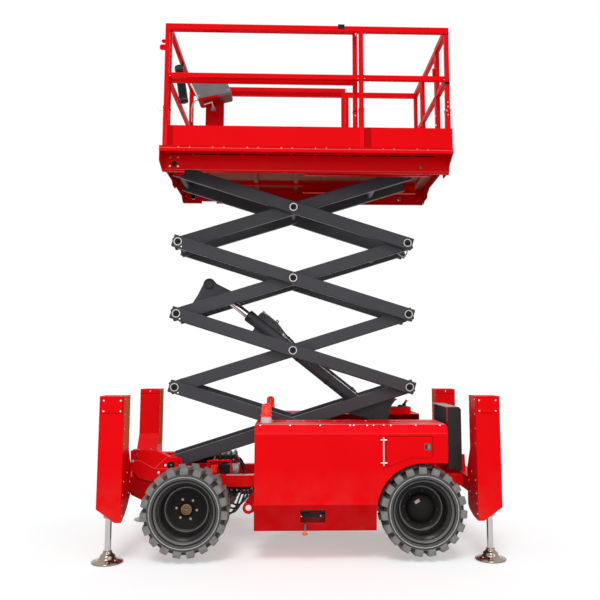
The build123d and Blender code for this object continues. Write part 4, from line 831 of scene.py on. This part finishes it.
def valves():
    """What lies between the front beams and on the pump block, and the hoses from there."""
    form = Form("valve_gear")
    manifold(form)
    pump_gear(form)
    hand_pump(form)
    for y in (-343, 343):                              # painted highlight strips along the beams' tops
        form.box((405, 640), (y - 34, y + 34), (564, 566), RED_TOP_HIGHLIGHT)
    form.done("chassis", "engine")
    for i, y in enumerate((-110, -60, 60, 110, 150)):
        route = [(604 + 26 * i, y, 640), (560 - 6 * i, y + 10, 668), (520 - 8 * i, y + 20, 600),
                 (505, y + 50, 500), (540 + 24 * i, y + 90, 410), (640 + 18 * i, y + 130, 330),
                 (760, 260 + 20 * i, 290)]
        hose(f"valve_hose_{i + 1}", "chassis", route, 9 if i % 2 else 7)
    for i, (x, low) in enumerate(((455, 330), (485, 300), (512, 262), (546, 246))):
        route = [(x - 60, 330, 466), (x - 30, 380, 400), (x, 400, low + 60), (x + 46, 400, low),
                 (x + 110, 380, low - 16), (x + 200, 330, low + 30)]
        hose(f"axle_hose_{i + 1}", "chassis", route, 8)
    for i, (x, y) in enumerate(((-640, 300), (-760, -120), (-860, 90))):
        route = [(x, y, 560), (x - 40, y, 640), (x - 130, y * 0.8, 600), (x - 220, y * 0.6, 470),
                 (x - 260, y * 0.5, 400)]
        hose(f"rear_hose_{i + 1}", "chassis", route, 8)


def ladder_trim():
    """A painted highlight along the step plate's top edge, and the rungs' grip bars and end bolts."""
    form = Form("step_trim")
    y0, y1 = -350, 250
    form.box((-1310, -1418), (y0 - 1, y1 + 1), (1136, 1141), SILVER)
    for z in (608, 798, 968):
        for y in range(-330, 240, 38):
            form.box((-1330, -1436), (y, y + 8), (z, z + 5), BLACK)
        for y, out in ((y1, "y"), (y0, "-y")):
            form.bolt((-1387, y, z + 4), out, 6, BLACK)
    form.done("chassis", "black_paint")


# ------------------------------------------------------------------ lift cylinder trim
LOWER_EYE, UPPER_EYE = (-712.66, 1027.35), (847.92, 2258.11)
CYLINDER_LENGTH = math.dist(LOWER_EYE, UPPER_EYE)
CYLINDER_X, CYLINDER_Z = ((b - a) / CYLINDER_LENGTH for a, b in zip(LOWER_EYE, UPPER_EYE))    # its direction
BARREL_END = CYLINDER_LENGTH - 460.0


def on_cylinder(s, t, y=0.0):
    """s up the cylinder from its lower eye, t square to it on its upper side."""
    return LOWER_EYE[0] + s * CYLINDER_X - t * CYLINDER_Z, y, LOWER_EYE[1] + s * CYLINDER_Z + t * CYLINDER_X


def cylinder_trim():
    """The barrel's collar, bands, bolts, fittings, plates and hoses, and the caps of the rod eye's pin."""
    along, upward = (CYLINDER_X, 0, CYLINDER_Z), (-CYLINDER_Z, 0, CYLINDER_X)
    form = Form("barrel_trim")
    collar = [(35, -4), (35, 6), (50, 6), (57.5, 0), (58, -40), (57, -46), (54, -46), (54, -4)]
    form.turn(collar, on_cylinder(BARREL_END, 0), along, BLACK, 48, closed=True)
    seal = [(34.6, 4), (34.6, 9), (40, 10), (43, 6)]
    form.turn(seal, on_cylinder(BARREL_END, 0), along, ZINC, 40, closed=True)
    for s in (240, 560, 900):
        band = [(53.8, s), (56.5, s), (56.5, s + 24), (53.8, s + 24)]
        form.turn(band, on_cylinder(0, 0), along, BLACK, 48, closed=True)
    for y in (-41, 41):
        for back, t in ((130, 84), (220, 96), (300, 80)):
            form.bolt(on_cylinder(BARREL_END - back, t, y), (0, y, 0), 9, BLACK)
    form.fitting(on_cylinder(BARREL_END - 96, 86), upward, 20, 14, 16, 40, ZINC)
    port = [(0, 0), (16, 0), (16, 26), (11, 32), (0, 32)]
    form.turn(port, on_cylinder(BARREL_END - 250, 108), upward, STEEL, 24)
    for y in (18, -21):
        form.bar(on_cylinder(BARREL_END - 320, -92, y), on_cylinder(BARREL_END - 140, -92, y), 34, 3, BROWN)
    form.done("lift_cylinder_barrel", "black_paint")
    for i, (y, rise, r, mat) in enumerate(((24, 66, 7, HOSE), (-24, 66, 7, HOSE), (34, 52, 3, WHITE))):
        route = [(BARREL_END - 100, 112), (BARREL_END - 250, 118), (BARREL_END - 380, rise + 10),
                 (1000, rise - 4), (600, rise - 4), (240, rise), (120, rise)]
        hose(f"barrel_hose_{i + 1}", "lift_cylinder_barrel", [on_cylinder(s, t, y) for s, t in route], r, mat)
    form = Form("upper_eye_trim")
    (x, z), face = UPPER_EYE, 92
    cap = [(0, face), (42, face), (42, face + 5), (34, face + 8), (28, face + 3), (0, face + 3)]
    for side in SIDES:
        form.side = side
        form.turn(cap, (x, 0, z), "y", BLACK, 40)
        form.bolt((x, face + 3, z), "y", 10, DULL)
        form.bolt((x - 30, face - 12, z - 46), "y", 5, DULL)
        form.rod((x, 47, z), (x, 72, z), 24, STEEL)
    form.done("inner_pair_3", "shaft")


# ------------------------------------------------------------------ platform trim
DECK_HALF, DECK_X, TRAY_HALF = 780.0, (-1305.0, 1215.0), 618.0
RAIL_OUT, RAIL_TOP, RAIL_H, MID_RAIL_Z = 775.0, 4464.0, 50.0, 3998.0
POST_X = (1168.0, -515.0, -1269.0)
TOE_BOARD, SOCKET_TOP, EXT_REAR = (3364, 3548), 3717, -492.0


def deck_edge(form):
    """The toe board's screws, the deck's edge strip, and the tray's slots, fittings and fold; the strip's top
    and the fold carry painted highlights, and the slots are painted shade.
    """
    x0, x1 = DECK_X
    for i in range(9):                                 # the screws come in pairs, but not where a post stands
        for x in (1052 - 292 * i, 958 - 292 * i):
            if x0 + 8 < x and min(abs(x - post) for post in POST_X) > 26:
                form.bolt((x, DECK_HALF, 3357), "y", 3, STEEL)
    # the deck's edge strip, with a painted highlight along its top
    form.box(DECK_X, (DECK_HALF - 1, DECK_HALF + 5), (3321, 3350), RED)
    form.box((x0 + 2, x1 - 2), (DECK_HALF + 4.4, DECK_HALF + 5.4), (3346, 3350.5), RED_EDGE_HIGHLIGHT)
    for x in range(1150, -1204, -214):                 # dark slots: painted shade in the gaps under the lip
        form.box((x - 190, x), (TRAY_HALF - 1, TRAY_HALF + 0.8), (3337, 3346), DARK)
    for x, z in ((1146, 3308), (1077, 3312), (1148, 3232), (1077, 3232)):
        form.bolt((x, TRAY_HALF, z), "y", 6, STEEL)
    for x, z, r, mat in ((1110, 3255, 25, DARK), (-1051, 3250, 18, BROWN), (1188, 3263, 6, DARK)):
        form.rod((x, TRAY_HALF - 30, z), (x, TRAY_HALF - 8, z), r, mat)
    form.rod((-1051, TRAY_HALF - 10, 3243), (-1051, TRAY_HALF - 2, 3243), 9, BRASS)
    # a painted highlight along the tray's fold
    form.bar((x0 + 8, TRAY_HALF, 3203), (x1 - 8, TRAY_HALF, 3203), 3, 1.2, RED_EDGE_HIGHLIGHT)


def post_trim(form):
    """Feet, socket rings, pins, welds and butt joints of one side's rail posts."""
    front, middle, rear = POST_X
    for x, shade in ((front, (1103, 1147)), (middle, (-598, -536))):   # feet, and a shaded part beside each
        form.box((x - 20, x + 20), (RAIL_OUT - 1, RAIL_OUT + 3), TOE_BOARD, RED_LIT)
        form.box((x - 23, x - 20), (RAIL_OUT - 1, RAIL_OUT + 2), TOE_BOARD, RED_DEEP)
        form.box(shade, (RAIL_OUT - 1, RAIL_OUT + 0.6), (3366, 3546), RED_IN_SHADE)
    for x, out in ((front, RAIL_OUT), (middle, RAIL_OUT), (rear, RAIL_OUT - 4)):
        form.box((x - 23.5, x + 23.5), (out - 46, out + 1.5), (SOCKET_TOP - 17, SOCKET_TOP), RED)
        form.box((x - 24, x + 24), (out - 46.5, out + 2), (SOCKET_TOP, SOCKET_TOP + 3), RED_DEEP)
        under = RAIL_TOP - RAIL_H
        form.box((x - 21, x + 21), (RAIL_OUT - 41, RAIL_OUT + 0.6), (under - 5, under), RED)       # weld
    for z in (3785, 3746, 3672):
        form.rivet((rear, RAIL_OUT - 4, z), "y", 5)
    form.box((rear - 21, rear + 21), (729, 773), (3945, 3973), DARK)
    form.rod((rear + 12, 771, 3708), (rear + 12, 779, 3708), 8, STEEL)
    form.rod((front + 20, 752, 3690), (front + 52, 752, 3690), 5, ZINC)
    form.ring((front + 60, 752, 3690), "y", 12, 15, 3)
    for x, beside in ((1147, -8), (-494, 8), (-536, -8), (-1248, 8)):   # where the middle rails meet posts
        form.box((x - 3, x + 3), (734, 776.5), (MID_RAIL_Z - 23, MID_RAIL_Z + 23), RED)
        form.rivet((x + beside, RAIL_OUT, MID_RAIL_Z - 10), "y", 3.5)


def latch_lugs(form):
    """Two lugs on the near front post, each with its pin."""
    x = 1187
    for low, high, reach in ((4296, 4322, 34), (4232, 4276, 48)):
        pin, middle = x + reach * 0.6, (low + high) / 2
        lug = [(x, low), (x + reach * 0.7, low), (x + reach, low + 8), (x + reach, high - 8), (pin, high),
               (x, high)]
        form.prism(lug, "y", 742, 764, RED)
        form.rod((pin, 738, middle), (pin, 768, middle), 6, RED_DEEP)


def platform_trim():
    form = Form("platform_trim")
    latch_lugs(form)
    # the little black box on the near top rail, and an eye ring under the rail
    form.box((-370, -314), (726, 780), (RAIL_TOP - 26, RAIL_TOP + 13), DARK)
    form.box((-364, -320), (732, 774), (RAIL_TOP - 30, RAIL_TOP + 13.5), BLACK)
    form.ring((-470, 748, RAIL_TOP - 62), "x", 14, 19, 3)
    # gate latch and hinge hardware at the rear
    form.box((-1296, -1240), (-364, -350), (3880, 3960), RED)
    form.rod((-1290, -357, 3920), (-1250, -330, 3920), 7, ZINC)
    for z in (3620, 3660, 4220, 4260):
        form.bolt((-1252, 366, z), "x", 6)
    form.box((-1247, -1236), (380, 410), (3715, 3790), RED)
    form.rod((-1240, 395, 3700), (-1240, 395, 3800), 6, ZINC)
    for side in SIDES:
        form.side = side
        deck_edge(form)
        post_trim(form)
    form.done("platform", "red_paint")


def extension_trim():
    form = Form("extension_trim")
    # latch gear at the far mid rail's rear end
    form.box((-430, -360), (-712, -664), (3996, 4012), DARK)
    form.rod((-440, -690, 4006), (-345, -690, 4006), 7, DARK)
    form.ring((-352, -690, 3996), "x", 14, 20, 4)
    # the black document tube inside the front rails
    low, high = Vector((1126, 60, 4024)), Vector((1184, 60, 4388))
    form.rod(low, high, 42, DARK, 40, 10)
    for share in (0.0, 0.86):
        band = [(41, 0), (44, 4), (44, 30), (41, 34)]
        form.turn(band, low.lerp(high, share), high - low, BLACK, 40, closed=True)
    form.bar(low.lerp(high, 0.9) + Vector((-34, 0, 0)), (1150, 40, 4436), 16, 2, DARK)
    for side in SIDES:
        form.side = side
        for x in (1163, -468):
            form.box((x - 22, x + 22), (664, 703), (3712, 3724), RED_DEEP)
            form.rivet((x, 701, 3680), "y", 6)
        form.box((EXT_REAR + 2, EXT_REAR + 10), (660, 700), (3560, 3640), RED)
        form.rod((EXT_REAR + 6, 690, 3568), (EXT_REAR + 6, 690, 3632), 5, ZINC)
    form.done("extension", "red_paint")


def control_box():
    """The tilted box with grey sides over its tray, the pedestal, latch and lock, and the cables."""
    near, far = -200.0, -400.0
    sides = [(1133, 4391), (757, 4391), (736, 4333), (710, 4280), (695, 4239), (1026, 4167)]
    tray = [(1024, 4165), (696, 4237), (700, 4214), (1006, 4138), (1026, 4150)]
    shade = [(1024, 4163), (822, 4208), (818, 4184), (1006, 4137.4), (1026, 4149)]
    form = Form("operator_box")
    form.prism(sides, "y", near - 3, far + 3, GREY)
    form.prism(tray, "y", near, far, BROWN)
    form.prism(shade, "y", near + 0.6, far - 0.6, RED_IN_SHADE)
    for y, out in ((near, 1), (far, -1)):
        # a painted highlight along each side's front edge, in the bolts' zinc
        form.bar((1133, y - out * 2, 4391), (1026, y - out * 2, 4167), 7, 3 * out, ZINC)
        form.bar((1133, y - out * 2, 4391), (757, y - out * 2, 4391), 5, 2.5 * out, GREY)
        for x, z in ((1100, 4368), (770, 4368), (728, 4260), (1020, 4196)):
            form.rivet((x, y - 3 * out, z), (0, out, 0), 5)
    form.rod((1126, near + 2, 4380), (1126, far - 2, 4380), 7, ZINC, 16)
    form.done("extension", "charcoal_paint", ["control_box"], rounded=2.0)
    form = Form("operator_box_fittings")
    # the pedestal, darker with painted shade
    form.box((783, 965), (far + 62, far + 4), (3372, 4215), RED_IN_SHADE)
    for x in (812, 936):
        form.bolt((x, far + 62, 3560), "y", 5, RED)
    # the latch under its near edge and the small lock below it
    form.bar((966, near, 4098), (880, near, 4128), 13, 8, TAG)
    form.rod((886, near + 8, 4122), (872, near + 8, 4070), 6, TAG, 16)
    form.box((853, 891), (near - 6, near + 10), (4036, 4076), LATCH)
    form.rod((872, near + 10, 4056), (872, near + 14, 4056), 9, GREY)
    # its cable's plug at the far post
    form.rod((1150, -655, 4060), (1140, -652, 3985), 11, DARK, 20, 3)
    form.rod((1151, -655, 4078), (1150, -655, 4058), 8, HOSE, 20, 2)
    form.done("extension", "red_paint")
    grey = [(1020, near - 40, 4160), (1052, near - 70, 4176), (1092, near - 160, 4188),
            (1126, near - 280, 4190), (1146, -590, 4190), (1152, -652, 4150), (1151, -655, 4076)]
    white = [(x - 4, y + 14, z - 6) for x, y, z in grey[:-1]] + [(1151, -648, 4078)]
    post = [(1140, -652, 3990), (1136, -652, 3940), (1142, -655, 3800), (1140, -655, 3560)]
    hose("box_cable_grey", "extension", grey, 6, GREY)
    hose("box_cable_white", "extension", white, 5, WHITE)
    hose("post_cable", "extension", post, 6)


def arm_lines():
    """The wiring and hoses clipped to two of the inner pairs, and the loops at their rear ends."""
    for stage, name in ((2, "lower"), (4, "upper")):
        line, body = ArmLine(front_pin(stage - 1), rear_pin(stage)), f"inner_pair_{stage}"
        for i, t in enumerate((20, 2, -16)):
            route = []
            for k, s in enumerate((120, 420, 760, 1050, 1400, 1760, 2080)):
                x, z = line.at(s, t + 4 * (k % 2))         # they wander a little
                route.append((x, 186 - 3 * i, z))
            hose(f"{name}_arm_line_{i + 1}", body, route, 6 if i else 8)
        form = Form(f"{name}_arm_clips")
        for s in (300, 700, 1300, 1700, 2000):
            form.strip([line.at(s, 36), line.at(s, -32)], 182, 16, 12, ZINC)
        form.done(body, "shaft")
    x, z = rear_pin(3)
    loops = (("rear_loop_a", 196, 40, 16, WHITE, 4), ("rear_loop_b", 190, 60, 12, HOSE, 6),
             ("rear_loop_c", 184, 30, 22.4, HOSE, 5))
    for name, y, reach, drop, mat, r in loops:
        route = [(x + 130, y, z - 30), (x + 90, y, z - 66), (x + reach, y - 2, z - 96 - drop),
                 (x + 16, y - 2, z - 104 - drop), (x - 20, y, z - 70), (x - 10, y, z - 30)]
        hose(name, "inner_pair_3", route, r, mat)


wheels()
arms()
housings()
legs()
for side_name, side_sign in SIDE_NAMES:
    cover_trim(side_name, side_sign)
pivot_trim()
beacons()
valves()
ladder_trim()
cylinder_trim()
platform_trim()
extension_trim()
control_box()
arm_lines()


# ------------------------------------------------------------------ stage, light, camera
FLOOR_HALF, FLOOR_COLOUR, FLOOR_GLOW, WHITE_LIGHT = 40, (0.81, 0.85, 0.85), 0.38, (1.0, 1.0, 1.0)
WORLD_LIGHT, WORLD_SEEN = 0.42, 1.0              # the level that lights things, and the level that is seen


def studio_floor():
    """A matt pale floor, which glows a little where it is seen directly or in a reflection."""
    mesh = bpy.data.meshes.new("studio_floor")
    corners = [(x * FLOOR_HALF, y * FLOOR_HALF, 0) for x, y in ((-1, -1), (1, -1), (1, 1), (-1, 1))]
    mesh.from_pydata(corners, [], [(0, 1, 2, 3)])
    mat = bpy.data.materials.new("studio_floor")
    mat.use_nodes = True
    tree = mat.node_tree
    shader = tree.nodes["Principled BSDF"]
    for name, value in (("Base Color", FLOOR_COLOUR), ("Roughness", 0.9), ("Specular IOR Level", 0.1)):
        feed(tree, shader.inputs[name], value)
    path = node(tree, "LightPath", {}).outputs
    seen = compute(tree, "MAXIMUM", path["Is Camera Ray"], path["Is Glossy Ray"])
    strength = compute(tree, "MULTIPLY", seen, FLOOR_GLOW)
    glow = node(tree, "Emission", {"Color": WHITE_LIGHT, "Strength": strength})
    both = node(tree, "AddShader", {0: shader.outputs[0], 1: glow.outputs[0]})
    feed(tree, tree.nodes["Material Output"].inputs["Surface"], both.outputs[0])
    mesh.materials.append(mat)
    new_object("studio_floor", mesh)


def studio_world():
    """White where it is seen directly, in a reflection or through something, and dimmer as a light."""
    world = bpy.data.worlds.new("studio")
    bpy.context.scene.world = world
    world.use_nodes = True
    tree = world.node_tree
    path = node(tree, "LightPath", {}).outputs
    seen = compute(tree, "MAXIMUM", path["Is Glossy Ray"], path["Is Transmission Ray"])
    seen = compute(tree, "MAXIMUM", path["Is Camera Ray"], seen)
    level = node(tree, "MapRange", {"To Min": WORLD_LIGHT, "To Max": WORLD_SEEN, "Value": seen})
    back = tree.nodes["Background"]
    feed(tree, back.inputs["Color"], WHITE_LIGHT)
    feed(tree, back.inputs["Strength"], level.outputs["Result"])


def lamp(name, at, power):
    """A soft, even light from the direction of a point, so that the floor is lit alike everywhere."""
    data = bpy.data.lights.new(name, "SUN")
    data.angle = math.radians(24)
    data.energy = power
    obj = new_object(name, data)
    obj.location = at
    obj.rotation_euler = Vector(at).to_track_quat("Z", "Y").to_euler()


def camera():
    data = bpy.data.cameras.new("camera")
    data.sensor_width = 36.0
    data.lens = 42.04
    data.shift_x, data.shift_y = -0.0211, -0.0318
    data.clip_end = 200.0
    cam = new_object("camera", data)
    heading, pitch, roll = 0.0328, 0.1165, 0.0011
    level = math.cos(pitch)
    ahead = Vector((-math.sin(heading) * level, -math.cos(heading) * level, math.sin(pitch)))
    cam.rotation_mode = "QUATERNION"
    cam.rotation_quaternion = ahead.to_track_quat("-Z", "Y") @ Matrix.Rotation(roll, 3, "Z").to_quaternion()
    cam.location = (0.0976, 6.604, 1.5756)
    bpy.context.scene.camera = cam


studio_floor()
studio_world()
lamp("key", (0.8, 5.4, 7.6), 1.22)
lamp("fill", (-6.0, 6.5, 3.4), 0.34)
lamp("front", (0.5, 9.0, 1.2), 0.38)
camera()
bpy.context.scene.view_settings.view_transform = "Standard"
